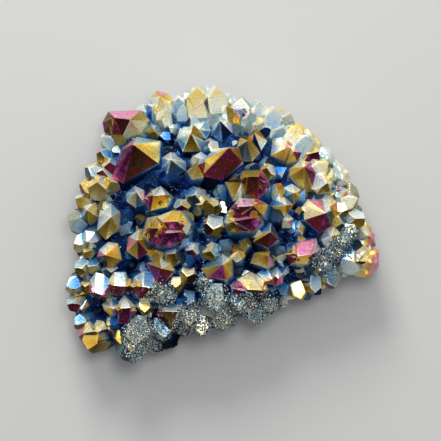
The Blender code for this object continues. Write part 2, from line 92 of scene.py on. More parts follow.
# The outline seen from above: direction in degrees from +X toward +Y, and reach.
OUTLINE = [
    (0, 27.2), (12, 25.8), (24, 24.6), (36, 23.9), (50, 24.2), (64, 24.8), (78, 24.8), (90, 25.2),
    (102, 27.0), (118, 27.8), (128, 28.8), (139, 30.8), (150, 28.6), (165, 28.6), (180, 29.8),
    (192, 29.6), (203, 32.4), (213, 34.2), (220, 35.0), (228, 32.2), (236, 29.4), (246, 24.0),
    (258, 21.0), (272, 19.2), (288, 18.6), (303, 18.6), (318, 20.6), (332, 23.6), (343, 28.6),
    (352, 30.0),
]

# Hollows in the dome: x, y, radius and depth.
HOLLOWS = [
    (-6.0, 8.6, 6.0, 2.6), (-11.5, 16.0, 3.4, 1.8), (-1.0, 1.0, 4.0, 1.6),
    (-19.0, -8.5, 4.0, 2.0), (-24.0, -18.0, 4.0, 2.2), (12.0, 10.8, 3.6, 2.0),
    (16.5, -2.5, 3.2, 1.8), (5.0, -8.6, 3.6, 1.6), (-8.0, 22.5, 3.2, 1.6),
    (-5.0, -12.5, 3.4, 1.6), (-13.5, -18.5, 3.0, 2.0), (14.0, -14.0, 3.4, 1.4),
]

# Quartz points placed one by one, as tip x, tip y, radius, length standing out of the lump,
# lean in x and in y (each against 1 up), and the compass direction of the broadest end face.
CROWN_POINTS = [
    (-2.0, -0.4, 2.2, 4.0, 0.00, -0.05, 80), (-2.8, -4.8, 2.0, 3.2, -0.10, 0.15, 130),
    (8.6, 11.4, 1.7, 3.5, 0.00, 0.35, 250), (-5.8, 6.2, 2.2, 3.8, 0.00, 0.15, 250),
    (-3.6, 5.2, 1.5, 3.0, 0.30, 0.15, 60), (-8.4, 4.0, 1.9, 2.8, 0.00, 0.10, 270),
    (-2.2, 3.8, 1.9, 3.4, 0.00, 0.05, 200), (-6.4, -4.8, 1.6, 3.2, 0.00, 0.00, 250),
    (-9.8, -5.6, 1.9, 3.4, 0.10, 0.25, 240), (-13.4, -5.2, 1.9, 3.2, 0.00, 0.20, 275),
]
LEFT_POINTS = [
    (-24.8, 14.8, 1.6, 3.8, -0.50, 0.50, 240), (-27.4, 11.6, 2.1, 4.4, -0.70, 0.40, 220),
    (-24.4, 11.0, 2.2, 3.4, -0.20, 0.30, 250), (-25.2, 8.4, 2.8, 4.6, -0.20, 0.20, 260),
    (-22.4, 8.6, 1.9, 3.6, 0.05, 0.20, 300), (-22.8, 12.6, 1.6, 3.4, -0.05, 0.30, 270),
    (-28.8, 8.2, 1.9, 4.0, -0.90, 0.30, 230), (-28.0, -5.2, 1.5, 3.2, -0.50, 0.00, 80),
    (-27.0, -8.0, 1.8, 3.0, -0.30, 0.05, 70), (-27.8, -12.0, 1.5, 2.6, -0.20, 0.00, 90),
    (-29.8, 5.4, 1.8, 4.0, -0.90, 0.30, 210), (-31.5, 1.0, 2.3, 4.2, -1.00, 0.10, 200),
    (-30.2, -3.4, 2.0, 4.0, -1.00, 0.00, 160), (-30.0, -8.4, 1.8, 4.0, -1.00, 0.00, 180),
    (-31.8, -12.0, 2.1, 4.2, -1.00, -0.10, 150), (-31.6, -15.8, 2.0, 4.0, -1.00, -0.20, 200),
    (-30.2, -19.8, 1.9, 4.0, -0.90, -0.40, 170), (-27.4, -25.0, 2.8, 5.4, -0.60, -0.90, 210),
]
TOP_POINTS = [
    (-11.6, 22.8, 1.7, 3.5, 0.15, 0.60, 300), (-9.0, 26.0, 2.0, 4.2, 0.00, 0.90, 270),
    (-5.4, 28.0, 3.5, 6.0, -0.25, 1.10, 265), (-1.4, 27.6, 2.8, 6.0, 0.20, 1.20, 285),
    (-4.2, 25.0, 2.0, 4.0, 0.00, 0.70, 270), (5.4, 22.8, 1.8, 3.5, 0.20, 0.70, 300),
    (8.0, 20.8, 1.7, 3.2, 0.40, 0.50, 260), (3.6, 25.6, 2.5, 4.5, 0.10, 1.10, 260),
    (7.2, 25.2, 2.3, 4.0, 0.30, 1.20, 290), (10.4, 23.8, 2.2, 4.0, 0.50, 1.10, 270),
    (13.4, 22.4, 2.1, 4.0, 0.60, 1.00, 250), (15.6, 20.4, 2.5, 4.5, 0.90, 1.00, 240),
    (12.0, 19.8, 1.8, 3.0, 0.40, 0.60, 250),
]
RIGHT_POINTS = [
    (20.2, 8.6, 2.3, 4.0, 0.30, 0.10, 160), (23.6, 0.6, 1.9, 3.4, 0.60, 0.00, 160),
    (24.6, 3.4, 1.6, 3.2, 0.70, 0.10, 150), (24.8, -3.2, 1.6, 3.0, 0.50, -0.20, 120),
    (22.6, -6.0, 2.0, 3.0, 0.40, -0.30, 100), (20.4, -8.2, 1.8, 3.0, 0.30, -0.40, 110),
    (26.4, -1.0, 1.8, 3.0, 0.80, 0.00, 140), (17.8, 18.0, 2.6, 4.5, 1.00, 0.80, 235),
    (19.0, 14.8, 2.2, 3.5, 0.90, 0.50, 250), (21.0, 12.4, 2.2, 4.0, 1.00, 0.50, 220),
    (26.6, 5.2, 1.9, 3.8, 1.10, 0.20, 200), (28.2, 1.4, 2.1, 4.2, 1.10, 0.10, 240),
    (27.4, -9.2, 2.7, 4.2, 0.80, -0.80, 300),
]
LOWER_POINTS = [
    (22.2, -12.2, 2.1, 4.2, 0.40, -0.90, 100), (18.4, -13.4, 1.9, 4.0, 0.30, -1.00, 80),
    (15.4, -14.6, 2.0, 4.0, 0.30, -1.00, 110), (3.6, -13.8, 2.1, 4.0, -0.20, -0.40, 100),
    (5.8, -15.8, 1.5, 3.5, 0.00, -0.60, 90), (2.6, -16.4, 2.4, 4.0, -0.10, -0.60, 90),
    (6.4, -19.8, 2.0, 5.0, 0.20, -1.20, 90), (9.4, -17.4, 1.8, 4.0, 0.30, -1.00, 90),
    (-1.8, -16.8, 2.8, 6.0, 0.00, -0.80, 90), (-3.4, -11.4, 1.9, 3.6, 0.00, -0.30, 100),
    (-0.6, -20.8, 2.4, 5.2, 0.00, -1.20, 90), (-7.0, -15.6, 1.7, 3.5, 0.00, -0.40, 80),
    (-6.8, -19.8, 2.3, 4.5, 0.05, -0.80, 90), (-4.2, -21.8, 2.1, 5.0, 0.20, -1.10, 100),
    (-12.8, -13.8, 2.3, 3.6, 0.00, -0.30, 90), (-10.8, -14.4, 1.5, 3.0, 0.00, -0.30, 90),
    (-7.2, -10.0, 1.9, 3.4, 0.00, -0.15, 80), (-9.6, -12.0, 1.5, 3.0, 0.00, -0.20, 90),
    (-15.8, -17.0, 1.6, 3.2, 0.00, -0.50, 90), (-17.4, -23.6, 3.2, 5.5, 0.00, -0.70, 90),
    (-18.6, -27.6, 2.5, 7.0, -0.05, -1.30, 270), (-20.8, -23.6, 1.6, 4.0, -0.20, -0.70, 90),
    (-12.0, -22.4, 2.5, 5.0, 0.10, -0.90, 90),
]

# Quartz points given face by face: length standing out of the lump, the tip or the two ends of the
# tip's ridge, and the corners of its shoulder going round, on a grid of GRID steps seen from above.
# Each corner names the film and painted light of the end face that starts there; the brightness stands for
# the light and shade on that face.
KEY_POINTS = [
    (8.0, [(-90, 81)], [(-65, 62, "gold"), (-63, 85, "silver"), (-87, 89, "pink"), (-103, 76, "plum"),
        (-112, 48, "plum"), (-100, 42, "brown")]),
    (7.0, [(-109, 108), (-93, 106)], [(-116, 115, "pink"), (-83, 116, "olive"), (-75, 106, "khaki"),
        (-83, 93, "white"), (-104, 84, "brown"), (-120, 94, "maroon"), (-122, 104, "umber")]),
    (6.4, [(-64, 130)], [(-74, 128, "gold"), (-67, 136, "pink"), (-57, 133, "gold"), (-49, 122, "cream"),
        (-53, 107, "cream"), (-68, 113, "white")]),
    (4.0, [(-72, 119)], [(-78, 122, "white"), (-67, 123, "sky"), (-66, 110, "sky"), (-72, 104, "blue"),
        (-78, 110, "blue")]),
    (5.0, [(2, 119)], [(-6, 122, "cream"), (7, 125, "khaki"), (16, 114, "olive"), (13, 102, "khaki"),
        (5, 95, "white"), (-6, 104, "cream")]),
    (4.0, [(10, 116), (19, 117)], [(6, 118, "pink"), (22, 120, "umber"), (31, 110, "umber"),
        (27, 99, "sky"), (14, 100, "white"), (7, 109, "khaki")]),
    (4.4, [(30, 93)], [(24, 90, "umber"), (33, 98, "amber"), (43, 85, "cream"), (37, 75, "navy"),
        (28, 82, "slate")]),
    (4.8, [(23, 85)], [(16, 88, "umber"), (25, 90, "amber"), (36, 73, "olive"), (28, 64, "coal"),
        (19, 64, "coal"), (14, 79, "yellow")]),
    (7.2, [(5, 78)], [(14, 78, "amber"), (19, 64, "maroon"), (-1, 46, "maroon"), (-22, 50, "gold"),
        (-19, 66, "silver"), (-10, 77, "lilac")]),
    (5.6, [(-26, 61)], [(-14, 66, "silver"), (-24, 67, "olive"), (-37, 55, "olive"), (-32, 46, "amber"),
        (-20, 49, "maroon")]),
    (6.4, [(24, 49), (34, 49)], [(19, 55, "khaki"), (37, 56, "rose"), (43, 43, "plum"), (41, 33, "plum"),
        (33, 27, "brown"), (21, 31, "umber"), (17, 46, "gold")]),
    (5.2, [(17, 43)], [(1, 44, "teal"), (17, 48, "slate"), (23, 38, "silver"), (17, 28, "silver"),
        (9, 25, "olive")]),
    (6.6, [(13, 19), (29, 20)], [(3, 12, "yellow"), (15, 28, "lilac"), (31, 27, "rose"),
        (43, 21, "amber"), (39, 10, "maroon"), (8, 6, "orange")]),
    (5.5, [(9, 5), (28, 8)], [(2, 8, "yellow"), (13, 14, "pink"), (31, 13, "orange"), (39, 4, "plum"),
        (28, -6, "plum"), (7, -3, "amber")]),
    (4.8, [(46, -6)], [(47, 7, "slate"), (54, -13, "maroon"), (44, -22, "brown"), (29, -16, "gold"),
        (33, -7, "sky")]),
    (4.4, [(44, -29)], [(47, -22, "slate"), (50, -36, "pink"), (44, -41, "olive"), (26, -37, "olive"),
        (30, -27, "gold")]),
    (5.2, [(-1, -38)], [(-2, -22, "white"), (8, -32, "gold"), (7, -46, "amber"), (2, -53, "magenta"),
        (-17, -51, "olive"), (-23, -42, "steel")]),
    (6.0, [(-60, 4), (-46, 5)], [(-67, 9, "cream"), (-52, 15, "gold"), (-43, 14, "gold"),
        (-33, 1, "cream"), (-38, -8, "magenta"), (-60, -6, "olive")]),
    (5.4, [(-58, -7), (-44, -6)], [(-62, -4, "orange"), (-52, 2, "lilac"), (-41, 0, "gold"),
        (-36, -7, "maroon"), (-43, -16, "plum"), (-66, -21, "plum"), (-70, -10, "maroon")]),
    (5.6, [(-73, -2), (-65, -2)], [(-76, 8, "khaki"), (-64, 11, "cream"), (-59, -2, "yellow"),
        (-64, -14, "maroon"), (-72, -18, "brown"), (-79, -8, "gold")]),
    (4.4, [(-86, -14)], [(-84, -3, "gold"), (-76, -13, "amber"), (-75, -27, "maroon"),
        (-86, -33, "olive"), (-97, -25, "pink"), (-95, -11, "white")]),
    (4.8, [(-118, -29)], [(-125, -24, "white"), (-116, -16, "cream"), (-105, -17, "gold"),
        (-102, -34, "umber"), (-115, -45, "teal"), (-127, -31, "pink")]),
    (5.0, [(-112, 9)], [(-124, 16, "white"), (-113, 24, "silver"), (-103, 14, "pink"),
        (-105, -3, "olive"), (-118, -14, "umber"), (-127, -5, "white")]),
    (4.6, [(-137, 16)], [(-143, 23, "white"), (-128, 24, "yellow"), (-126, 9, "olive"),
        (-134, -4, "umber"), (-143, 4, "silver")]),
    (3.4, [(-134, -16)], [(-139, -12, "white"), (-131, -11, "sky"), (-127, -20, "white"),
        (-130, -27, "white"), (-139, -31, "gold"), (-142, -20, "olive")]),
    (4.6, [(-87, 34)], [(-97, 33, "sky"), (-89, 40, "white"), (-80, 36, "cream"), (-79, 22, "slate"),
        (-88, 18, "khaki"), (-97, 25, "silver")]),
    (4.6, [(-70, 30), (-58, 31)], [(-72, 35, "white"), (-63, 40, "silver"), (-53, 31, "olive"),
        (-56, 19, "amber"), (-73, 15, "maroon"), (-79, 25, "pink")]),
    (4.8, [(-33, 92)], [(-44, 98, "white"), (-31, 100, "khaki"), (-17, 83, "silver"), (-23, 74, "umber"),
        (-41, 74, "sky"), (-47, 87, "white")]),
    (3.8, [(-25, 96)], [(-31, 102, "white"), (-19, 105, "silver"), (-13, 95, "sky"), (-18, 87, "silver"),
        (-30, 91, "khaki")]),
    (4.2, [(-4, 105)], [(-12, 99, "silver"), (-5, 111, "silver"), (7, 105, "white"), (9, 92, "navy"),
        (-2, 83, "slate"), (-13, 91, "sky")]),
    (4.2, [(-53, 66)], [(-62, 68, "white"), (-53, 74, "white"), (-38, 64, "silver"), (-38, 55, "coal"),
        (-58, 46, "sky"), (-63, 58, "sky")]),
    (5.4, [(80, 59)], [(67, 58, "white"), (76, 66, "cream"), (87, 64, "magenta"), (94, 52, "plum"),
        (91, 33, "olive"), (80, 31, "olive"), (65, 50, "gold")]),
    (5.8, [(101, 13)], [(78, 21, "yellow"), (83, 27, "pink"), (98, 26, "white"), (109, 17, "coal"),
        (108, 0, "plum"), (95, -7, "maroon"), (80, 6, "yellow")]),
    (4.6, [(106, 20)], [(94, 28, "white"), (102, 33, "cream"), (113, 24, "orange"), (118, 10, "amber"),
        (116, -5, "olive"), (106, -3, "coal")]),
    (4.2, [(107, -10)], [(102, -3, "white"), (110, 0, "cream"), (117, -8, "gold"), (112, -19, "white"),
        (103, -23, "white"), (97, -14, "sky")]),
    (5.2, [(73, -30), (87, -28)], [(72, -17, "pink"), (92, -12, "lilac"), (94, -26, "plum"),
        (83, -38, "gold"), (70, -37, "umber"), (64, -25, "umber")]),
    (3.6, [(113, 36), (120, 36)], [(110, 44, "lilac"), (118, 48, "pink"), (124, 42, "rose"),
        (122, 30, "plum"), (113, 29, "umber")]),
    (4.4, [(61, 77)], [(47, 86, "cream"), (56, 92, "cream"), (65, 91, "pink"), (67, 78, "gold"),
        (61, 65, "gold"), (47, 70, "white")]),
    (4.2, [(69, 74)], [(65, 81, "cream"), (74, 84, "lilac"), (83, 73, "maroon"), (72, 65, "amber"),
        (62, 62, "yellow")]),
    (3.6, [(70, 33)], [(58, 38, "white"), (68, 42, "white"), (77, 36, "gold"), (78, 27, "olive"),
        (69, 21, "slate"), (60, 30, "sky")]),
    (3.8, [(62, 21)], [(49, 28, "white"), (60, 29, "silver"), (69, 21, "orange"), (60, 9, "gold"),
        (51, 9, "gold"), (45, 19, "sky")]),
    (3.6, [(53, 37)], [(46, 34, "sky"), (50, 42, "orange"), (57, 43, "amber"), (61, 34, "gold"),
        (56, 26, "white"), (48, 26, "cream")]),
    (3.0, [(63, 5)], [(56, 8, "white"), (63, 13, "white"), (69, 7, "pink"), (67, -2, "yellow"),
        (58, -2, "cream")]),
    (3.2, [(74, -2)], [(68, 2, "sky"), (75, 6, "silver"), (80, -1, "yellow"), (78, -10, "sky"),
        (69, -10, "blue")]),
    (3.6, [(14, -24)], [(4, -22, "olive"), (14, -17, "slate"), (23, -27, "gold"), (18, -33, "cream"),
        (12, -36, "cream"), (5, -30, "orange")]),
    (5.2, [(24, -63), (38, -64)], [(13, -53, "yellow"), (26, -46, "cream"), (41, -51, "rose"),
        (44, -64, "coal"), (38, -78, "teal"), (20, -75, "teal"), (11, -70, "pink")]),
    (4.0, [(48, -53)], [(33, -47, "sky"), (42, -41, "silver"), (52, -48, "gold"), (50, -58, "rose"),
        (41, -56, "cream")]),
    (3.8, [(54, -52)], [(46, -46, "silver"), (53, -40, "white"), (60, -47, "pink"), (58, -57, "rose"),
        (51, -60, "magenta")]),
    (4.0, [(59, -77)], [(51, -75, "white"), (57, -69, "white"), (64, -72, "white"), (65, -81, "white"),
        (56, -83, "cream")]),
    (4.6, [(85, -55)], [(73, -54, "umber"), (82, -48, "slate"), (93, -51, "silver"), (94, -63, "slate"),
        (86, -75, "coal"), (75, -67, "brown")]),
    (4.4, [(-129, -66), (-121, -69)], [(-134, -54, "white"), (-128, -46, "white"), (-120, -48, "sky"),
        (-112, -54, "slate"), (-114, -72, "coal"), (-127, -74, "plum"), (-135, -66, "pink")]),
    (4.2, [(-110, -59), (-97, -60)], [(-115, -55, "cream"), (-110, -46, "white"), (-98, -46, "gold"),
        (-94, -59, "umber"), (-102, -69, "maroon"), (-111, -68, "plum"), (-116, -62, "pink")]),
    (4.6, [(-81, -60), (-68, -62)], [(-89, -51, "silver"), (-80, -45, "sky"), (-70, -46, "yellow"),
        (-65, -58, "umber"), (-73, -72, "maroon"), (-85, -72, "plum"), (-89, -64, "pink")]),
    (4.4, [(-62, -42)], [(-77, -37, "khaki"), (-64, -31, "white"), (-48, -35, "yellow"),
        (-50, -45, "maroon"), (-60, -58, "plum"), (-68, -56, "plum")]),
    (4.6, [(-103, -82), (-93, -81)], [(-105, -76, "white"), (-99, -68, "yellow"), (-90, -80, "coal"),
        (-94, -97, "plum"), (-106, -97, "plum")]),
    (4.0, [(-112, -82)], [(-122, -78, "white"), (-112, -72, "sky"), (-104, -77, "silver"),
        (-104, -86, "lilac"), (-111, -92, "gold"), (-120, -84, "cream")]),
    (5.6, [(-140, -107), (-129, -105)], [(-146, -102, "cream"), (-139, -91, "yellow"),
        (-127, -103, "brown"), (-121, -114, "umber"), (-128, -125, "coal"), (-140, -121, "plum"),
        (-146, -111, "pink")]),
    (4.2, [(-143, -84)], [(-150, -74, "yellow"), (-146, -70, "white"), (-137, -73, "sky"),
        (-135, -80, "navy"), (-142, -90, "navy"), (-148, -83, "cream")]),
    (3.4, [(-114, -104)], [(-119, -100, "sky"), (-115, -93, "sky"), (-110, -104, "umber"),
        (-108, -114, "maroon"), (-118, -113, "maroon")]),
    (5.8, [(134, -35), (150, -36)], [(126, -35, "cream"), (132, -26, "cream"), (145, -23, "yellow"),
        (154, -31, "lilac"), (155, -39, "pink"), (146, -46, "brown"), (130, -45, "brown")]),
    (4.6, [(144, -10)], [(134, -2, "cream"), (142, 1, "cream"), (150, -9, "pink"), (153, -20, "rose"),
        (143, -23, "steel"), (134, -14, "khaki")]),
    (4.8, [(-61, -85), (-44, -85)], [(-65, -80, "silver"), (-52, -76, "silver"), (-43, -79, "cream"),
        (-40, -88, "umber"), (-45, -99, "umber"), (-54, -104, "brown"), (-64, -92, "gold")]),
]

# Soft mounds that the rim's points are half sunk in: x, y, level, reach round the rim, reach out
# from the middle, height, and the film and painted light of its top and of its outer edge.
MOUNDS = [
    (28.0, -7.2, 8.2, 3.0, 3.0, 3.2, "cream", "pink"), (28.2, -2.6, 7.2, 3.0, 1.7, 2.5, "cream", "pink"),
    (26.2, 2.2, 7.2, 2.4, 1.5, 2.2, "stone", "ash"), (25.4, 6.4, 7.2, 2.3, 1.5, 2.5, "sand", "stone"),
    (23.0, 10.4, 7.4, 2.6, 1.8, 2.8, "white", "cream"), (20.2, 13.8, 7.4, 2.3, 1.7, 2.7, "frost", "white"),
    (17.0, 17.0, 7.2, 2.7, 1.8, 2.8, "white", "yellow"), (13.2, 19.6, 7.4, 2.4, 1.7, 2.6, "white", "white"),
    (9.2, 21.8, 7.2, 2.7, 1.8, 2.7, "frost", "white"), (4.8, 23.2, 7.4, 2.4, 1.7, 2.9, "white", "cream"),
    (0.4, 24.6, 7.6, 2.6, 2.0, 3.1, "white", "white"), (-4.6, 25.8, 7.4, 2.8, 2.0, 2.9, "frost", "white"),
]
MOUND_SUBDIVISIONS = 4
MOUND_RELIEF = 0.42
MOUND_LUMPS = 1.35  # across one lump of their relief
MOUND_PATCH = 1.3  # across one patch of thicker film
MOUND_EDGE = 0.1  # how soon the outer edge's film and painted light begin, as a share of the reach out
MOUND_SINK = 0.15  # how late the foot's look begins on the inner side
MOUND_UNDER = 0.5  # how much of the foot's look shows underneath, as painted shade there
MOUND_FOOT = (0.22, 0.55)  # film and painted shade where a mound sinks into the valleys

# Points round the side, in rows: level of the roots, count, how far past the outline the tips reach,
# and how far they tilt outwards.
GIRDLE_ROWS = [(3.4, 25, -0.3, 1.9), (7.0, 30, 0.3, 1.2)]
GIRDLE_RADIUS = (1.4, 2.4)
GIRDLE_STANDING = (3.0, 4.4)
GIRDLE_SHIFT = 0.3  # how far one strays along its row, in steps of the row
GIRDLE_REACH = 0.4  # in or out
GIRDLE_STRAY = 0.8  # up or down
GIRDLE_SWING = 0.35  # and in the way it tilts, in radians
GIRDLE_SEED = 11

# A quartz point's own proportions, as shares of its radius.
END_SLOPE_DEG = 51.8
FLANK_SPREAD = 0.30  # how much wider it gets for each step down its side
SHOULDER_DROP = 0.95  # how far its shoulder lies below its tip
UNEVEN_SIDE = 0.10
UNEVEN_END = 0.11
MINOR_RAISE = 0.38  # how much higher every other end face lies
BROAD_CUT = 0.18  # how much lower the broadest one lies
FOOT_SPARE = 1.3  # how much wider its blank is at the foot than the flanks need
BURIED = 3.0  # millimetres of it inside the lump
BURIED_SHARE = 0.5  # and how much more than that, against the radius
SHAPE_SEED = 5

# How far a face looks along its point's axis: an end face by more, and a foot by less.
LEAST_END = 0.36
FOOT_FACING = -0.9

# A point given face by face.
GRID = 0.2
END_DEPTH = 1.1  # how far its shoulder lies below the tip, against its reach from the tip
DEPTH_SHARE = 0.55  # how far each corner follows its own reach, and not the mean one
LEAN_SHARE = 0.5  # how far it leans toward its off-centre tip
RIM_LEAN = 0.8  # how far it leans outwards at the cluster's outline
CROWN_LEAN = 0.2  # how far the ones in the middle lean toward +Y
KEY_SPREAD = 0.34  # how much wider it gets for each step down its side
RIM_SPREAD = 0.08  # the same at the cluster's outline
KEY_SPARE = 1.5  # least length below its deepest corner
FLAT_DEG = 4  # facets that turn by less than this are one

# Ridges of the large points.
RIDGE_WIDTH = 0.07  # bevel, before its share of the radius
RIDGE_SHARE = 0.025
RIDGE_PROFILE = 0.55
RIDGE_BAND = 0.16  # band beside a ridge where the film thickens and the ridge's painted highlight fades, as a share of the radius
LEAST_FACET = 0.10  # area from which a facet has such a band, against the radius squared
SHARP_DEG = 24  # edges that turn by more than this stay sharp

# Small points that fill the valleys and the sides: radius, standing length, spacing.
FILL_SIZES = [(1.9, 2.7, 2.9), (1.3, 2.0, 2.1), (0.8, 1.2, 1.8)]
FILL_TRIES = [1800, 3000, 3500]
FILL_TEMPLATES = 24
FILL_UNEVEN_END = 0.34
FILL_SEED = 23
FILL_FLOOR = 1.6  # none stands on the side below this level
FILL_CROWN = 0.4  # share of them kept on the upper surface
FILL_CROWN_RISE = 3  # how far above the rim that begins
FILL_CLEAR = 0.80  # share of a large point's radius that they stay out of
FILL_CELL = 2.2  # cells in which their neighbours are looked up
FILL_RADIUS = (0.7, 1.15)  # range round a size's own
FILL_STANDING = (0.6, 1.25)
FILL_UPRIGHT = 0.35  # how far they turn from square to the lump toward upright
FILL_STRAY = 0.28
SAMPLE_FROM = -0.55  # lowest direction from the lump's middle that is tried
SAMPLE_STEP = 0.03  # how far apart the places are that tell how the surface lies
LOWEST = 0.1  # no small point's foot is lower than this
BLANK_LENGTH = 3.0  # length of a template, for a radius of 1
BLANK_FOOT = -2.9  # its verts below this are the foot
FOOT_BELOW = 1.2  # how far the foot goes down below the root, against the radius
SMALL_SHOULDER = 0.3  # least height of a small point's shoulder
SMALL_THINNER = 0.05  # how much thinner the film on a small point's side is
# share of the painted light that a small point's side keeps, so it is darker
SMALL_DARKER = 0.75
SMALL_ENDS = 5  # film and painted light that one point's ends choose from
SMALL_SILVER = 0.12  # how many more of them are silvery than of the large ones
VALLEY_RISE = 2  # how far above the rim all the other ones are blue
VALLEY_SHARE = 0.35  # share of them that is so below it

# Steps on the ends of the large points whose tip is a ridge.
STEP_COUNT = 9
STEP_REACH = (0.02, 0.50)  # from the tip to the shoulder
STEP_RADIUS = (0.5, 1.3)  # on a point whose shoulder is STEP_HOST from its tip
STEP_HOST = 4
STEP_RAISE = (0.06, 0.16)
STEP_STANDING = 1.5
STEP_TURN_DEG = 25
STEP_LIT = 0.1  # how far a face looks toward the lit side to take the bright look, a painted highlight
STEP_SEED = 12
STEP_HOSTS = ("plum", "maroon", "brown", "umber", "magenta", "pink", "rose", "orange", "lilac")
# Steps' film and painted light: the bright ones are painted highlights on faces toward the lit side, the dark
# ones painted shade on the rest.
STEP_HIGHLIGHTS = ("pink", "lilac", "yellow", "gold", "magenta")
STEP_SHADED = ("plum", "maroon", "maroon", "brown", "umber", "magenta", "amber")

# Grains: radius range, and the rings of corners each is made of, as reach, level and count. Sugary
# zones are x, y and reach.
GRAIN_RADIUS = (0.13, 0.30)
GRAIN_STANDING = (0.8, 1.6)  # against the radius
GRAIN_STRAY = 0.35
CHIP_RINGS = [(0.55, 0.0, 3), (0.9, -0.9, 4)]
CHIP_STRAY = 0.25  # how far a corner strays round its ring, in steps of it, and up or down
CHIP_REACH = (0.75, 1.2)
CHIP_FLAT_DEG = 15  # facets that turn by less than this are one
CHIP_FOOT = -0.6  # facets that look down by more than this are left off
SUGAR_ZONES = [
    (-0.8, -17.8, 4.6), (-6.6, -18.6, 3.4), (8.6, -17.0, 3.2), (-12.4, -13.6, 2.8), (-15.6, -23.0, 4.6),
    (20.4, -7.0, 2.8), (22.8, -4.4, 2.3), (24.8, -1.6, 1.7), (4.6, -15.6, 2.4), (-4.0, -11.6, 2.0),
]
SUGAR_CORE = 1.6  # how thickly grains lie in a zone's middle, before it is held to 1
SUGAR_FADE = 1.4  # and how much of that is gone at its edge
SUGAR_GRAINS = 13000
SUGAR_ON_FLOOR = 0.12  # how densely they lie between the points, against on them
SUGAR_FACING = -0.2  # none lies on a face that looks down by more than this
SUGAR_LOWEST = 1.5
SUGAR_FILM_LIGHTS = ("stone", "sand", "frost", "sand", "cream", "khaki", "cream", "silver", "stone", "stone")
SPARKLES = 1500
SPARKLE_LOWEST = 3
SPARKLE_FILM_LIGHTS = ("navy", "blue", "navy", "slate", "navy", "coal", "blue", "plum")
GRAIN_SEED = 31

# The lump flares up to each large point, and its film thickens there. Away from them it is painted dark, as
# painted shade in the valleys.
FLARE = 0.5
FLARE_REACH = 0.8
HALO_REACH = 0.9
SILVER_FLOOR = 0.75  # how bright the floor's painted light is between silvery points
HALO_FILM = (0.20, 0.06)  # against a large point, and away from all of them
# painted light of the floor: bright against a large point, painted shade away from all of them
HALO_PAINTED_LIGHT = (0.31, 0.06)
FLOOR_WANDER = 0.06  # how far the floor's film wanders
FLOOR_PATCH = 1.7  # across one patch of it

# The film: how far along its colours a place is, from the thinnest film at 0.
FILM_COLOURS = [
    (0.00, (0.002, 0.004, 0.018)), (0.08, (0.003, 0.010, 0.060)), (0.17, (0.010, 0.050, 0.270)),
    (0.26, (0.045, 0.235, 0.580)), (0.34, (0.440, 0.620, 0.700)), (0.40, (0.850, 0.840, 0.620)),
    (0.47, (0.880, 0.620, 0.110)), (0.54, (0.640, 0.310, 0.020)), (0.60, (0.580, 0.110, 0.060)),
    (0.66, (0.760, 0.130, 0.420)), (0.70, (0.260, 0.020, 0.200)), (0.74, (0.240, 0.020, 0.040)),
    (0.79, (0.280, 0.065, 0.015)), (0.85, (0.100, 0.045, 0.014)), (0.92, (0.020, 0.070, 0.060)),
    (1.00, (0.010, 0.035, 0.045)),
]
# Film and painted light: how thick the film is, and how bright it is painted, which stands for the light and
# shade on a face. Past 1 the painted light fades the colour to white, as a painted highlight.
FILM_LIGHTS = {
    "white": (0.375, 1.40), "silver": (0.35, 0.85), "sky": (0.30, 1.0), "blue": (0.22, 0.9),
    "navy": (0.12, 0.8), "slate": (0.33, 0.20), "coal": (0.33, 0.06), "cream": (0.425, 1.10),
    "yellow": (0.46, 1.12), "gold": (0.50, 1.0), "khaki": (0.47, 0.40), "olive": (0.495, 0.32),
    "umber": (0.51, 0.14), "amber": (0.53, 0.7), "orange": (0.57, 0.95), "rose": (0.61, 0.9),
    "pink": (0.65, 1.22), "lilac": (0.67, 1.5), "magenta": (0.68, 0.7), "plum": (0.710, 0.20),
    "maroon": (0.760, 0.42), "brown": (0.835, 0.26), "teal": (0.92, 0.6), "steel": (0.32, 0.55),
    "ash": (0.385, 0.30), "stone": (0.395, 0.48), "frost": (0.37, 0.95), "sand": (0.42, 0.55),
}
LIT_SIDE_DEG = 78  # compass direction of the lit side: faces that look toward it take thin films painted bright, and faces away from it thicker ones painted dark, as painted light and shade
STEEP_GAIN = 1.3  # how soon a face that leans is counted as facing a side in full
ONLY_FROM = -0.7  # how far an end face looks that way to take its own point's film and painted light
BRIGHT_FROM = 0.4  # a bright one, as painted light
MIDDLE_FROM = -0.35  # and a middle one, while the rest take dark ones, as painted shade
# Lists of film and painted light for end faces. Where a face's way toward the lit side picks among the
# bright, middle and dark ones, they are painted light and shade; the dark valley ones are painted shade in
# the valleys.
VALLEY_ENDS = ("navy", "blue", "navy", "coal", "slate", "sky", "coal", "olive")
BRIGHT_ENDS = ("white", "cream", "silver", "sky", "white", "yellow")
MIDDLE_ENDS = ("gold", "khaki", "olive", "silver", "cream", "slate", "amber", "khaki")
DARK_ENDS = ("olive", "umber", "maroon", "plum", "brown", "umber", "coal", "khaki")
SILVER_ENDS = ("white", "frost", "cream", "frost", "silver", "white", "yellow", "stone")
SUGAR_ENDS = ("stone", "ash", "slate", "ash", "sand", "steel", "ash")
EDGES = ((0.44, 0.9), (0.37, 1.1), (0.655, 1.0), (0.47, 0.6), (0.64, 0.8))  # film and painted highlight of ridges
SHOULDER_BAND = 0.25  # how far up an end face the film thins toward the shoulder
THIN_SHOULDER = 0.04
THICK_FILM = 0.6  # a film this thick doesn't
SHOULDER_FADE = 0.25  # how far the shoulder's painted light goes toward 1
TIP_THICKER = 0.02  # how much thicker the film is at the tip than at the shoulder, and as given midway
LEAST_SIDE = 0.6  # least length of a side that the film is spread along
EDGE_SHARE = 0.16  # how far a ridge takes on its own film and painted highlight
DARK_EDGES = {"plum": 0.3, "maroon": 0.25, "brown": 0.2, "umber": 0.2}  # the same, on the dark ends
DARK_EDGE = (0.67, 0.75)  # their ridges' film and painted highlight above the shoulder
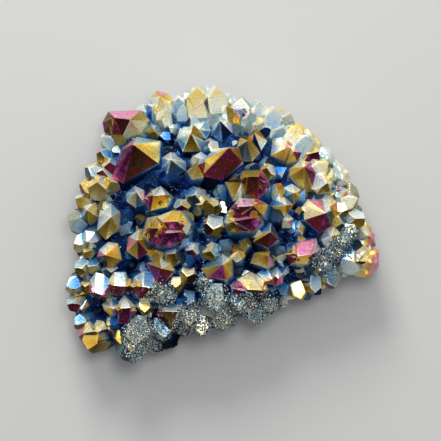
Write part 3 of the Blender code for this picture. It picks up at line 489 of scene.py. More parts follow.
DARK_SHOULDER = (0.56, 0.75)  # and along the shoulder
RIDGE_FROM = 1.3  # where a ridge is above the shoulder, from the shoulder at 1 to the tip at 2
WANDER = 0.045  # how far the film's thickness wanders over a few millimetres
WANDER_SIZE = 2.4
SILVER_RIM_DEG = 58  # compass direction of the most silvery rim
SILVER_LEAST = 0.05  # how silvery the rim opposite it is
SILVER_POWER = 1.5  # how fast that falls on the way round
RIM_START = 0.72  # the share of the outline from which a place belongs to the rim
RIM_BAND = 0.2  # and how much further out it does so in full
SIDE_FILM = (0.06, 0.42)  # on a point's side, at its root and at its shoulder
SIDE_RISE = 1.7  # how late it thickens on the way up
SIDE_THICKER = (0.0, 0.0, 0.03, 0.07, 0.15, 0.22)  # how much thicker some points' sides are coated
SILVER_SIDE = 0.375  # the thinnest film on the sides of silvery points
SIDE_PAINTED_LIGHT = (1.0, 0.85, 0.75)  # painted light and shade of a side: toward the lit side, across it and away from it
ROOT_PAINTED_LIGHT = 0.38  # painted shade: how bright a side is at its root, against its shoulder
SUGAR_SIDE = -0.08  # added to the film on the sides of sugary points, which is thinner
SUGARY = 0.02  # the share of grains from which a point is a sugary one
NEAR_RIM_SHADE = 0.42  # painted shade: how much darker the sides are on the rim opposite the silvery one

# The material. Its noises are given as scale per metre, detail and roughness.
METALLIC = 0.62
INDEX = 1.55
SPECULAR = 0.04
ROUGHNESS = (0.18, 0.42)
NOISE_SPAN = (0.3, 0.7)  # where nearly all of a noise lies
COARSE_MOTTLE = (900, 4, 0.75)
FINE_MOTTLE = (3200, 2, 0.6)
FINE_SHARE = 0.7
MOTTLE_LEAST = 0.011  # how far the mottle goes on a thin film
MOTTLE_GROWTH = 0.50  # and how fast it grows with the film past MOTTLE_FROM
MOTTLE_FROM = 0.6
# Random spread of the painted light, and the white that a painted highlight fades the colour to.
PAINTED_LIGHT_NOISE = (2200, 2, 0.6)
PAINTED_LIGHT_RANGE = (0.88, 1.08)
PAINTED_HIGHLIGHT = (0.92, 0.93, 0.95, 1)
ROUGHNESS_NOISE = (1500, 3, 0.6)
BUMP_NOISE = (2600, 4, 0.7)
STRIATIONS = 3.5  # how many cross a millimetre of a side
STRIATION_DETAIL = 3
STRIATION_SHARE = 0.6  # their share of the bump
BUMP_STRENGTH = 0.3
BUMP_DISTANCE = 0.00012

# The studio, in metres and watts. Each light has a name, a place, a size and its watts.
SKY_STRENGTH = (0.24, 0.82)  # from the near side, and from the far side
SKY_SPAN = (-0.8, 0.8)  # the Y of the directions that it changes between
SKY_COLOUR = (0.92, 0.95, 1.0, 1)
LIGHTS = [("key", (-0.10, 0.42, 0.30), 0.20, 2.1), ("top", (0.05, 0.10, 0.60), 0.16, 1.05)]
LIGHT_COLOUR = (1.0, 0.98, 0.94)
LIGHT_AIM = (0, 0, 0.01)
FLOOR_SIZE = 3.0
FLOOR_COLOUR = (0.52, 0.52, 0.51, 1)
FLOOR_ROUGHNESS = 0.8
CAMERA_PLACE = (-0.0007, 0.0011, 0.90)
CAMERA_REACH = 10  # how far it sees
SENSOR_WIDTH = 36  # of the camera's film, in millimetres
FRAMED_WIDTH = 0.0882  # what the picture is across, at FRAMED_LEVEL
FRAMED_LEVEL = 0.010


def clear_scene():
    for obj in list(bpy.data.objects):
        bpy.data.objects.remove(obj, do_unlink=True)


def blend(start, end, share):
    return start + (end - start) * share


def clamped(value):
    return min(max(value, 0), 1)


def standing_turn(axis, angle):
    """Turns what stands along +Z by an angle, and then tips it over to an axis."""
    return Vector((0, 0, 1)).rotation_difference(axis).to_matrix() @ Matrix.Rotation(angle, 3, "Z")


def strayed(toward, amount, rng):
    """A direction that strays at random from another."""
    stray = Vector((rng.gauss(0, 1), rng.gauss(0, 1), rng.gauss(0, 1))) * amount
    return (toward + stray).normalized()


def new_object(name, data):
    obj = bpy.data.objects.new(name, data)
    bpy.context.scene.collection.objects.link(obj)
    return obj


def mesh_object(name, bm):
    mesh = bpy.data.meshes.new(name)
    bm.to_mesh(mesh)
    bm.free()
    return new_object(name, mesh)


def look_layers(bm):
    return [bm.loops.layers.float.new(key) for key in LOOK_LAYERS]


def write_look(loop, layers, *values):
    for layer, value in zip(layers, values):
        loop[layer] = value


# ---------------------------------------------------------------- the lump's form


def outline_radius(angle):
    """The cluster's reach in a direction, smooth all the way round."""
    degrees = math.degrees(angle) % 360
    count = len(OUTLINE)
    after = next((i for i, (at, _) in enumerate(OUTLINE) if at > degrees), count)
    before = after - 1
    start = OUTLINE[before][0]
    end = OUTLINE[after % count][0] + (360 if after == count else 0)
    t = (degrees - start) / (end - start)
    p0, p1, p2, p3 = (OUTLINE[(before + k) % count][1] for k in (-1, 0, 1, 2))
    return p1 + 0.5 * t * (p2 - p0 + t * (2 * p0 - 5 * p1 + 4 * p2 - p3 + t * (3 * (p1 - p2) + p3 - p0)))


def outline_share(x, y):
    return math.hypot(x, y) / outline_radius(math.atan2(y, x))


def dome_height(x, y):
    """Level of the lump's upper surface at a place inside the outline."""
    share = min(outline_share(x, y), CREST_SHARE)
    height = RIM_HEIGHT + DOME_RISE * math.sqrt(1 - share**2)
    for hollow_x, hollow_y, radius, depth in HOLLOWS:
        away = math.hypot(x - hollow_x, y - hollow_y) / radius
        height -= depth * math.exp(-(away**2))
    return height


def lump_place(out):
    """Where a direction from the lump's middle meets its surface."""
    reach = outline_radius(math.atan2(out.y, out.x)) - SETBACK
    x, y = out.x * reach, out.y * reach
    if out.z > 0:
        inside = math.hypot(out.x, out.y) < CREST_SHARE
        z = dome_height(x, y) if inside else RIM_HEIGHT + DOME_RISE * out.z
    else:
        z = RIM_HEIGHT + UNDER_DEPTH * out.z
    place = Vector((x, y, z)) / KNOB_SIZE
    raised = LUMP_RELIEF * noise.noise(place)
    widened = 1 + SIDE_RELIEF * noise.noise(place + Vector(SIDE_SHIFT))
    fine = CRUMB_RELIEF * noise.fractal(Vector((x, y, z)) / CRUMB_SIZE, *CRUMB_FRACTAL)
    z = z + raised + fine * out.z
    x, y = x * widened + fine * out.x, y * widened + fine * out.y
    hollow = noise.noise(Vector((x, y, BACK_LEVEL)) / BACK_SIZE)
    return Vector((x, y, max(z, BACK_RELIEF * max(0.0, BACK_LIFT + hollow + BACK_CRUMBS * fine))))


# ---------------------------------------------------------------- the film's thickness and brightness


def lerp3(values, toward):
    """Between three values, as a direction turns from away (-1) over across (0) to toward (1)."""
    near, across, away = values
    return np.where(toward > 0, blend(across, near, toward), blend(across, away, -toward))


def facing_lit_side(normal):
    """How far a face looks toward the lit side, -1 to 1."""
    azimuth = np.arctan2(normal[..., 1], normal[..., 0])
    steep = np.hypot(normal[..., 0], normal[..., 1])
    return np.cos(azimuth - math.radians(LIT_SIDE_DEG)) * np.clip(steep * STEEP_GAIN, 0, 1)


def sugar_share(x, y):
    """How thickly grains coat a place, 0 to 1."""
    shares = [
        SUGAR_CORE - SUGAR_FADE * np.hypot(x - at_x, y - at_y) / reach for at_x, at_y, reach in SUGAR_ZONES
    ]
    return np.clip(np.max(shares, axis=0), 0, 1)


def rim_share(x, y):
    """How far a place belongs to the rim, 0 to 1."""
    return min(max(0.0, outline_share(x, y) - RIM_START) / RIM_BAND, 1.0)


def toward_silver_rim(x, y):
    """How far a place lies toward the silvery rim, seen from the middle, -1 to 1."""
    return math.cos(math.atan2(y, x) - math.radians(SILVER_RIM_DEG))


def silver_share(x, y):
    """How silvery the points are: most on the far rim, a little on the near one."""
    far = 0.5 + 0.5 * toward_silver_rim(x, y)
    return rim_share(x, y) * blend(SILVER_LEAST, 1, far**SILVER_POWER)


def side_shade(x, y):
    """How bright the points' sides are painted at a place: darkest on the near rim, as painted shade."""
    near = 0.5 - 0.5 * toward_silver_rim(x, y)
    return 1 - NEAR_RIM_SHADE * rim_share(x, y) * near


def pick_film_light(normal, only, looks):
    """The film and painted light of an end face, by the way it looks: painted bright toward the lit side and
    dark away from it. Some points have only ones of one list.
    """
    toward = float(facing_lit_side(np.array(normal)))
    if only and toward > ONLY_FROM:
        return looks.choice(only)
    if toward > BRIGHT_FROM:
        return looks.choice(BRIGHT_ENDS)
    return looks.choice(MIDDLE_ENDS if toward > MIDDLE_FROM else DARK_ENDS)


def side_rule(normal, along, silvery, thicker):
    """Film and painted light of a point's side: the film thin at its root and thicker toward its shoulder at
    1, the painted light by the way it looks toward the lit side, darker at its root as painted shade.
    """
    rise = np.clip(along, 0, 1) ** SIDE_RISE
    film = blend(SIDE_FILM[0], SIDE_FILM[1] + thicker, rise)
    film = blend(film, np.maximum(film, SILVER_SIDE), silvery)
    return film, lerp3(SIDE_PAINTED_LIGHT, facing_lit_side(normal)) * blend(ROOT_PAINTED_LIGHT, 1, np.maximum(rise, silvery))


def end_rule(film_light, along):
    """Film and painted light of an end face, from its shoulder at 1 up to the tip at 2."""
    film, glow = FILM_LIGHTS[film_light]
    low = 1 - np.clip((along - 1) / SHOULDER_BAND, 0, 1)
    thinner = THIN_SHOULDER if film < THICK_FILM else 0.0
    thicker = TIP_THICKER * (np.clip(along, 1, 2) - 1.5)
    return film - thinner * low + thicker, glow + (1.0 - glow) * SHOULDER_FADE * low


def ridge_rule(film_light, film, glow, along, edge):
    """Film and painted light of an end face on its ridges, which partly have a film and a painted highlight
    of their own.
    """
    target = (edge[0], max(edge[1], glow))
    if film_light in DARK_EDGES:
        target = DARK_EDGE if along > RIDGE_FROM else DARK_SHOULDER
    share = DARK_EDGES.get(film_light, EDGE_SHARE)
    return blend(film, target[0], share), blend(glow, target[1], share)


# ---------------------------------------------------------------- large points


def cut_flat(bm, point, normal):
    """Slices everything beyond a plane off a convex solid and closes the cut."""
    geometry = bm.verts[:] + bm.edges[:] + bm.faces[:]
    cut = bmesh.ops.bisect_plane(
        bm, geom=geometry, dist=1e-7, plane_co=point, plane_no=normal, clear_outer=True,
    )
    edges = [item for item in cut["geom_cut"] if isinstance(item, bmesh.types.BMEdge)]
    if edges:
        bmesh.ops.edgeloop_fill(bm, edges=edges)


def end_facing(k):
    """The way the end face k of an upright point looks. The first one looks along +X."""
    slope = math.radians(END_SLOPE_DEG)
    return Matrix.Rotation(math.radians(60 * k), 3, "Z") @ Vector((math.sin(slope), 0, math.cos(slope)))


def quartz_point(radius, length, rng, uneven_end=UNEVEN_END):
    """A quartz point along +Z with its tip at about the origin, and its broadest end along +X."""
    bm = bmesh.new()
    top_reach = radius * (1 + 2 * UNEVEN_SIDE)
    foot_reach = top_reach + FOOT_SPARE * FLANK_SPREAD * length
    bmesh.ops.create_cone(bm, cap_ends=True, segments=6, radius1=foot_reach, radius2=top_reach, depth=length)
    bmesh.ops.translate(bm, verts=bm.verts, vec=(0, 0, -length / 2))
    bmesh.ops.rotate(bm, verts=bm.verts, matrix=Matrix.Rotation(math.radians(30), 3, "Z"))
    side_reach = radius * math.cos(math.radians(30))
    for k in range(6):
        side_out = Matrix.Rotation(math.radians(60 * k), 3, "Z") @ Vector((1, 0, 0))
        uneven = 1 + rng.uniform(-UNEVEN_SIDE, UNEVEN_SIDE)
        shoulder = side_out * side_reach * uneven - Vector((0, 0, SHOULDER_DROP * radius))
        cut_flat(bm, shoulder, side_out + Vector((0, 0, FLANK_SPREAD)))
        raised = rng.uniform(-uneven_end, uneven_end) + MINOR_RAISE * (k % 2)
        lowered = BROAD_CUT if k == 0 else -raised
        cut_flat(bm, Vector((0, 0, -lowered * radius)), end_facing(k))
    return bm


def convex_solid(places, flat_deg):
    """The closed convex solid round some places. Facets that turn by less than an angle are one."""
    bm = bmesh.new()
    for place in places:
        bm.verts.new(place)
    hull = bmesh.ops.convex_hull(bm, input=bm.verts)
    unused = set(hull["geom_interior"] + hull["geom_unused"])
    loose = [item for item in unused if isinstance(item, bmesh.types.BMVert)]
    bmesh.ops.delete(bm, geom=loose, context="VERTS")
    bmesh.ops.dissolve_limit(bm, angle_limit=math.radians(flat_deg), verts=bm.verts, edges=bm.edges)
    bmesh.ops.recalc_face_normals(bm, faces=bm.faces)
    return bm


def soften_ridges(bm, radius, axis):
    """Bevels every ridge, and gives each facet a band beside its ridges. Returns the ridge verts."""
    ridges = [
        edge for edge in bm.edges if all(face.normal.dot(axis) > FOOT_FACING for face in edge.link_faces)
    ]
    bmesh.ops.bevel(
        bm, geom=ridges, offset=RIDGE_WIDTH + RIDGE_SHARE * radius, segments=2, profile=RIDGE_PROFILE,
        affect="EDGES", clamp_overlap=True,
    )
    bmesh.ops.recalc_face_normals(bm, faces=bm.faces)
    facets = [
        face for face in bm.faces
        if face.calc_area() > LEAST_FACET * radius**2 and face.normal.dot(axis) > FOOT_FACING
    ]
    on_ridge = set(bm.verts)
    bmesh.ops.inset_individual(bm, faces=facets, thickness=RIDGE_BAND * radius, use_even_offset=False)
    return on_ridge


def paint_point(bm, on_ridge, tip, axis, standing, shoulder, ends, looks, thicker=0.0):
    """Writes the film, the painted light and shade, and the height along the point on every face corner.

    ends lists the way each end face looks, with its film and painted light. shoulder is how far below the tip
    it lies.
    """
    silvery, shade = silver_share(tip.x, tip.y), side_shade(tip.x, tip.y)
    layers = look_layers(bm)
    edge = looks.choice(EDGES)
    side = max(standing - shoulder, LEAST_SIDE)
    for face in bm.faces:
        normal = face.normal
        is_end = normal.dot(axis) > LEAST_END
        film_light = max(ends, key=lambda end: end[0].dot(normal))[1] if is_end else None
        facing = np.array(normal)
        for loop in face.loops:
            below = (tip - loop.vert.co).dot(axis)
            along = 2 - below / shoulder if below < shoulder else max(1 - (below - shoulder) / side, 0)
            if film_light is None:
                film, glow = side_rule(facing, along, silvery, thicker)
                glow = glow * shade
            else:
                film, glow = end_rule(film_light, along)
                if loop.vert in on_ridge:
                    film, glow = ridge_rule(film_light, film, glow, along, edge)
            film = float(film) + WANDER * noise.noise(loop.vert.co / WANDER_SIZE)
            write_look(loop, layers, film, float(glow), standing - below)


def finish_point(points, name, bm):
    bmesh.ops.scale(bm, verts=bm.verts, vec=(MM, MM, MM))
    obj = mesh_object(name, bm)
    bpy.context.scene.collection.objects.unlink(obj)
    points.objects.link(obj)


def add_point(points, name, row, rng, looks, root_level=None):
    """One point from the tables, painted. Returns its axis as root, tip and radius."""
    x, y, radius, standing, lean_x, lean_y, broad_deg = row
    axis = Vector((lean_x, lean_y, 1)).normalized()
    root_x, root_y = x - axis.x * standing, y - axis.y * standing
    level = dome_height(root_x, root_y) if root_level is None else root_level
    tip = Vector((x, y, level + axis.z * standing))
    turn = standing_turn(axis, math.radians(broad_deg))
    bm = quartz_point(radius, standing + BURIED + BURIED_SHARE * radius, rng)
    bmesh.ops.transform(bm, verts=bm.verts, matrix=Matrix.Translation(tip) @ turn.to_4x4())
    bmesh.ops.recalc_face_normals(bm, faces=bm.faces)
    on_ridge = soften_ridges(bm, radius, axis)
    only = SILVER_ENDS if looks.random() < silver_share(x, y) else None
    sugary = sugar_share(x, y) > SUGARY
    if sugary:
        only = SUGAR_ENDS
    facings = [turn @ end_facing(k) for k in range(6)]
    ends = [(facing, pick_film_light(facing, only, looks)) for facing in facings]
    thicker = 0.0 if only else looks.choice(SIDE_THICKER)
    if sugary:
        thicker = SUGAR_SIDE
    paint_point(bm, on_ridge, tip, axis, standing, SHOULDER_DROP * radius, ends, looks, thicker)
    finish_point(points, name, bm)
    return tip - axis * (standing + BURIED), tip, radius


def add_key_point(points, name, row, looks):
    """One point given face by face, painted. Returns its axis as root, tip and radius, and its end."""
    standing, tips, corners = row
    tips = [Vector(tip) * GRID for tip in tips]
    ring = [Vector(corner[:2]) * GRID for corner in corners]
    middle = sum(ring, Vector((0, 0))) / len(ring)
    crest = sum(tips, Vector((0, 0))) / len(tips)
    reaches = [min((corner - tip).length for tip in tips) for corner in ring]
    mean = sum(reaches) / len(reaches)
    lean = (crest - middle) * LEAN_SHARE / (END_DEPTH * mean)
    share = outline_share(*middle)
    lean += middle.normalized() * RIM_LEAN * share**4 + Vector((0, CROWN_LEAN * (1 - share**4)))
    axis = Vector((*lean, 1)).normalized()
    top = Vector((*crest, dome_height(*middle) + standing * axis.z))

    def lowered(place, depth):
        """The point straight above or below a place that lies this deep below the tip along the axis."""
        across = place - crest
        return Vector((*place, top.z - (depth + across.dot(axis.xy)) / axis.z))

    depths = [END_DEPTH * (DEPTH_SHARE * reach + (1 - DEPTH_SHARE) * mean) for reach in reaches]
    crests = [lowered(tip, 0) for tip in tips]
    shoulders = [lowered(corner, depth) for corner, depth in zip(ring, depths)]
    length = max(standing + BURIED + BURIED_SHARE * mean, max(depths) + KEY_SPARE)
    spread = blend(KEY_SPREAD, RIM_SPREAD, share**4)
    roots = []
    for corner, depth in zip(shoulders, depths):
        across = corner - top + axis * depth
        roots.append(top - axis * length + across * (1 + spread * (length - depth) / across.length))
    bm = convex_solid(crests + shoulders + roots, FLAT_DEG)
    on_ridge = soften_ridges(bm, mean, axis)
    ends = []
    for k, corner in enumerate(shoulders):
        after = shoulders[(k + 1) % len(shoulders)]
        nearest = min(crests, key=lambda tip: (tip - (corner + after) / 2).length)
        facing = (corner - nearest).cross(after - nearest).normalized()
        ends.append((facing if facing.dot(axis) > 0 else -facing, corners[k][2]))
    paint_point(bm, on_ridge, top, axis, standing, sum(depths) / len(depths), ends, looks)
    finish_point(points, name, bm)
    end = (axis, crests, shoulders, [corner[2] for corner in corners])
    return (top - axis * (standing + BURIED), top, mean), end


def rim_mounds():
    """The soft mounds of the rim, painted: each one's top, its outer edge, and blue where it sinks in, darker
    there and underneath as painted shade.
    """
    bm = bmesh.new()
    layers = look_layers(bm)
    for x, y, level, reach_round, reach_out, height, top_film_light, edge_film_light in MOUNDS:
        made = bmesh.ops.create_icosphere(bm, subdivisions=MOUND_SUBDIVISIONS, radius=1)["verts"]
        outward = Vector((x, y, 0)).normalized()
        round_rim = Vector((-outward.y, outward.x, 0))
        wanted = (FILM_LIGHTS[top_film_light], FILM_LIGHTS[edge_film_light], MOUND_FOOT)
        top, edge, foot = (np.array(look) for look in wanted)
        for vert in made:
            out = vert.co.copy()
            away = outward * reach_out * out.x + round_rim * reach_round * out.y
            place = Vector((x, y, level + height * out.z)) + away
            place += (away + Vector((0, 0, height * out.z))) * MOUND_RELIEF * noise.noise(place / MOUND_LUMPS)
            look = blend(top, edge, clamped(out.x + MOUND_EDGE))
            look = blend(look, foot, clamped(-out.x - MOUND_SINK + MOUND_UNDER * max(-out.z, 0)))
            wander = WANDER * noise.noise(place / MOUND_PATCH)
            vert.co = place * MM
            for loop in vert.link_loops:
                write_look(loop, layers, float(look[0]) + wander, float(look[1]), place.z)
    mounds = mesh_object("rim_mounds", bm)
    mounds.data.shade_smooth()
    return mounds


def girdle_points():
    """Rows like the placed ones, with a root level, for the points round the side."""
    rng = random.Random(GIRDLE_SEED)
    for level, count, past, tilt in GIRDLE_ROWS:
        for k in range(count):
            angle = math.tau * (k + rng.uniform(-GIRDLE_SHIFT, GIRDLE_SHIFT)) / count
            reach = outline_radius(angle) + past + rng.uniform(-GIRDLE_REACH, GIRDLE_REACH)
            swing = angle + rng.uniform(-GIRDLE_SWING, GIRDLE_SWING)
            tip = (reach * math.cos(angle), reach * math.sin(angle))
            lean = (tilt * math.cos(swing), tilt * math.sin(swing))
            radius = rng.uniform(*GIRDLE_RADIUS)
            standing = rng.uniform(*GIRDLE_STANDING)
            root_level = level + rng.uniform(-GIRDLE_STRAY, GIRDLE_STRAY)
            yield (*tip, radius, standing, *lean, rng.uniform(0, 360)), root_level


def axes_of(large):
    """The roots, the tips and the radii of large points, as arrays."""
    roots = np.array([root[:] for root, _, _ in large])
    tips = np.array([tip[:] for _, tip, _ in large])
    return roots, tips, np.array([radius for _, _, radius in large])


def side_distance(places, large):
    """How far places are from the nearest large point's side, less than 0 inside one."""
    roots, tips, radii = axes_of(large)
    nearest = np.full(len(places), np.inf)
    for root, axis, radius, square in zip(roots, tips - roots, radii, ((tips - roots) ** 2).sum(1)):
        away = places - root
        t = np.clip(away @ axis / square, 0, 1)
        nearest = np.minimum(nearest, np.linalg.norm(away - t[:, None] * axis, axis=1) - radius)
    return nearest


def build_lump(large):
    """The lump, flared up to the large points and painted as a valley floor, with painted shade away from
    them.
    """
    bm = bmesh.new()
    bmesh.ops.create_icosphere(bm, subdivisions=LUMP_SUBDIVISIONS, radius=1)
    outward = np.array([vert.co[:] for vert in bm.verts])
    places = np.array([lump_place(vert.co.copy())[:] for vert in bm.verts])
    away = np.clip(side_distance(places, large), 0, None)
    places += outward * (FLARE * np.exp(-away / FLARE_REACH))[:, None]
    halo = np.exp(-((away / HALO_REACH) ** 2))
    film, glow = blend(HALO_FILM[1], HALO_FILM[0], halo), blend(HALO_PAINTED_LIGHT[1], HALO_PAINTED_LIGHT[0], halo)
    layers = look_layers(bm)
    for vert, place, thick, bright in zip(bm.verts, places, film, glow):
        silvery = silver_share(place[0], place[1])
        wander = FLOOR_WANDER * noise.noise(Vector(place) / FLOOR_PATCH)
        look = (blend(thick, SILVER_SIDE, silvery) + wander, blend(bright, SILVER_FLOOR, silvery))
        vert.co = Vector(place) * MM
        for loop in vert.link_loops:
            write_look(loop, layers, *look)
    return mesh_object("crystal_cluster", bm)


def apply_modifiers(obj):
    graph = bpy.context.evaluated_depsgraph_get()
    mesh = bpy.data.meshes.new_from_object(obj.evaluated_get(graph))
    obj.modifiers.clear()
    obj.data = mesh


def fuse(body, points):
    """Joins every point to the lump as one closed skin, cuts its back flat, and keeps the result."""
    union = body.modifiers.new("fused points", "BOOLEAN")
    union.operation = "UNION"
    union.operand_type = "COLLECTION"
    union.collection = points
    union.solver = "MANIFOLD"
    bm = bmesh.new()
    bmesh.ops.create_cube(bm, size=1)
    bmesh.ops.scale(bm, verts=bm.verts, vec=Vector(FLAT_CUT) * MM)
    bmesh.ops.translate(bm, verts=bm.verts, vec=(0, 0, -FLAT_CUT[2] / 2 * MM))
    cutter = mesh_object("flat_cut", bm)
    back = body.modifiers.new("flat back", "BOOLEAN")
    back.operation = "DIFFERENCE"
    back.object = cutter
    back.solver = "MANIFOLD"
    apply_modifiers(body)
    bpy.data.objects.remove(cutter, do_unlink=True)
    for obj in list(points.objects):
        bpy.data.objects.remove(obj, do_unlink=True)
    bpy.data.collections.remove(points)
    body.data.shade_smooth()
    body.data.set_sharp_from_angle(angle=math.radians(SHARP_DEG))


# ---------------------------------------------------------------- small points


def taken_apart(bm, foot_facing):
    """A small solid without its foot, as arrays: its verts, its faces and the ways they look."""
    bmesh.ops.recalc_face_normals(bm, faces=bm.faces)
    feet = [face for face in bm.faces if face.normal.z < foot_facing]
    bmesh.ops.delete(bm, geom=feet, context="FACES")
    bm.verts.index_update()
    verts = np.array([vert.co[:] for vert in bm.verts])
    faces = [[vert.index for vert in face.verts] for face in bm.faces]
    normals = np.array([face.normal[:] for face in bm.faces])
    bm.free()
    return verts, faces, normals


def templates(rng):
    """Upright small points of unit radius, with their tips at the origin."""
    blanks = (quartz_point(1.0, BLANK_LENGTH, rng, FILL_UNEVEN_END) for _ in range(FILL_TEMPLATES))
    return [taken_apart(bm, FOOT_FACING) for bm in blanks]


def chips(rng):
    """Irregular grains of about unit radius, in the same form as the templates."""
    made = []
    for _ in range(FILL_TEMPLATES):
        corners = []
        for ring, height, count in CHIP_RINGS:
            start = rng.uniform(0, math.tau)
            for k in range(count):
                angle = start + math.tau * (k + rng.uniform(-CHIP_STRAY, CHIP_STRAY)) / count
                reach = ring * rng.uniform(*CHIP_REACH)
                level = height + rng.uniform(-CHIP_STRAY, CHIP_STRAY)
                corners.append((reach * math.cos(angle), reach * math.sin(angle), level))
        made.append(taken_apart(convex_solid(corners, CHIP_FLAT_DEG), CHIP_FOOT))
    return made


class PointField:
    """Collects small points as plain arrays, and then makes one mesh of them."""

    def __init__(self):
        self.verts, self.loops, self.sizes = [], [], []
        self.film, self.glow, self.rise = [], [], []
        self.count = 0

    def add(self, template, tip, axis, angle, radius, standing, film_light_of, least_end=LEAST_END):
        """Places one small point. A function gives the film and painted light of an end face by the way it
        looks.
        """
        verts, faces, normals = template
        turn = np.array(standing_turn(axis, angle))
        silvery, shade = silver_share(tip[0], tip[1]), side_shade(tip[0], tip[1])
        local = verts * radius
        foot = -standing - FOOT_BELOW * radius
        local[:, 2] = np.where(local[:, 2] < BLANK_FOOT * radius, foot, local[:, 2])
        placed = local @ turn.T + tip
        placed[:, 2] = np.maximum(placed[:, 2], LOWEST)
        world = normals @ turn.T
        shoulder = max(standing - SHOULDER_DROP * radius, SMALL_SHOULDER)
        rise = local[:, 2] + standing
        along = np.where(rise < shoulder, np.clip(rise / shoulder, 0, 1), 1 + (rise - shoulder) / radius)
        for face, normal, own in zip(faces, world, normals):
            if own[2] > least_end:
                film, glow = end_rule(film_light_of(normal), along[face])
            else:
                film, glow = side_rule(normal, along[face], silvery, 0.0)
                film, glow = film - SMALL_THINNER * (1 - silvery), glow * SMALL_DARKER * shade
            self.loops.extend(index + self.count for index in face)
            self.sizes.append(len(face))
            self.film.extend(film)
            self.glow.extend(glow)
            self.rise.extend(rise[face])
        self.verts.append(placed)
        self.count += len(verts)

    def build(self, name):
        mesh = bpy.data.meshes.new(name)
        verts = np.concatenate(self.verts) * MM
        mesh.vertices.add(len(verts))
        mesh.vertices.foreach_set("co", verts.astype(np.float32).ravel())
        mesh.loops.add(len(self.loops))
        mesh.loops.foreach_set("vertex_index", np.array(self.loops, np.int32))
        mesh.polygons.add(len(self.sizes))
        sizes = np.array(self.sizes, np.int32)
        starts = np.concatenate([[0], np.cumsum(sizes)[:-1]]).astype(np.int32)
        mesh.polygons.foreach_set("loop_start", starts)
        mesh.polygons.foreach_set("loop_total", sizes)
        mesh.update(calc_edges=True)
        for key in LOOK_LAYERS:
            layer = mesh.attributes.new(key, "FLOAT", "CORNER")
            layer.data.foreach_set("value", np.array(getattr(self, key), np.float32))
        mesh.validate()
        mesh.shade_flat()
        return new_object(name, mesh)


def inside_large(place, roots, tips, radii, share):
    """True where a place is inside one of the large points."""
    along = tips - roots
    length2 = (along**2).sum(1)
    t = np.clip(((place - roots) * along).sum(1) / length2, 0, 1)
    away = np.linalg.norm(roots + along * t[:, None] - place, axis=1)
    return bool((away < radii * share).any())


def surface_sample(rng):
    """A place on the lump's upper or side surface, and the way it faces."""
    z = rng.uniform(SAMPLE_FROM, 1.0)
    turn = rng.uniform(0, math.tau)
    flat = math.sqrt(1 - z * z)
    out = Vector((flat * math.cos(turn), flat * math.sin(turn), z))
    place = lump_place(out)
    side = out.orthogonal().normalized()
    a, b = (
        lump_place((out + step * SAMPLE_STEP).normalized()) - place for step in (side, out.cross(side))
    )
    normal = a.cross(b).normalized()
    return place, -normal if normal.dot(out) < 0 else normal


def small_film_lights(spot, rng):
    """Film and painted light of one small point's ends: blue in the valleys, as silvery as its neighbours at
    the rim.
    """
    silvery = silver_share(spot[0], spot[1]) + SMALL_SILVER
    low = 1.0 if spot[2] > RIM_HEIGHT + VALLEY_RISE else VALLEY_SHARE
    made = []
    for _ in range(SMALL_ENDS):
        if rng.random() < silvery:
            made.append(rng.choice(SILVER_ENDS))
        elif rng.random() < low:
            made.append(rng.choice(VALLEY_ENDS))
        else:
            made.append(rng.choice(MIDDLE_ENDS + DARK_ENDS))
    return SUGAR_ENDS[:SMALL_ENDS] if sugar_share(spot[0], spot[1]) > SUGARY else made


def is_crowded(spot, spacing, taken):
    """True where a spot is too near a taken one. Otherwise it is taken as well."""
    key = tuple((spot // FILL_CELL).astype(int))
    near = [p for i in (-1, 0, 1) for j in (-1, 0, 1) for k in (-1, 0, 1)
            for p in taken.get((key[0] + i, key[1] + j, key[2] + k), ())]
    if any(np.linalg.norm(spot - other) < (spacing + reach) / 2 for other, reach in near):
        return True
    taken.setdefault(key, []).append((spot, spacing))
    return False


def fill_points(large):
    """Small points between the large ones, the larger of them first."""
    rng = random.Random(FILL_SEED)
    made = templates(rng)
    axes = axes_of(large)
    taken = {}
    crown = RIM_HEIGHT + FILL_CROWN_RISE
    field = PointField()
    for (size, standing, spacing), tries in zip(FILL_SIZES, FILL_TRIES):
        for _ in range(tries):
            place, normal = surface_sample(rng)
            if place.z < FILL_FLOOR or (place.z > crown and rng.random() > FILL_CROWN):
                continue
            spot = np.array(place)
            if inside_large(spot, *axes, FILL_CLEAR) or is_crowded(spot, spacing, taken):
                continue
            radius = size * rng.uniform(*FILL_RADIUS)
            tall = standing * rng.uniform(*FILL_STANDING)
            axis = strayed(normal + Vector((0, 0, FILL_UPRIGHT)), FILL_STRAY, rng)
            angle = rng.uniform(0, math.tau)
            tip = spot + np.array(axis) * tall
            if tip[2] < FILL_FLOOR + radius:
                continue
            only = small_film_lights(spot, rng)
            field.add(rng.choice(made), tip, axis, angle, radius, tall, lambda _: rng.choice(only))
    return field.build("small_points")


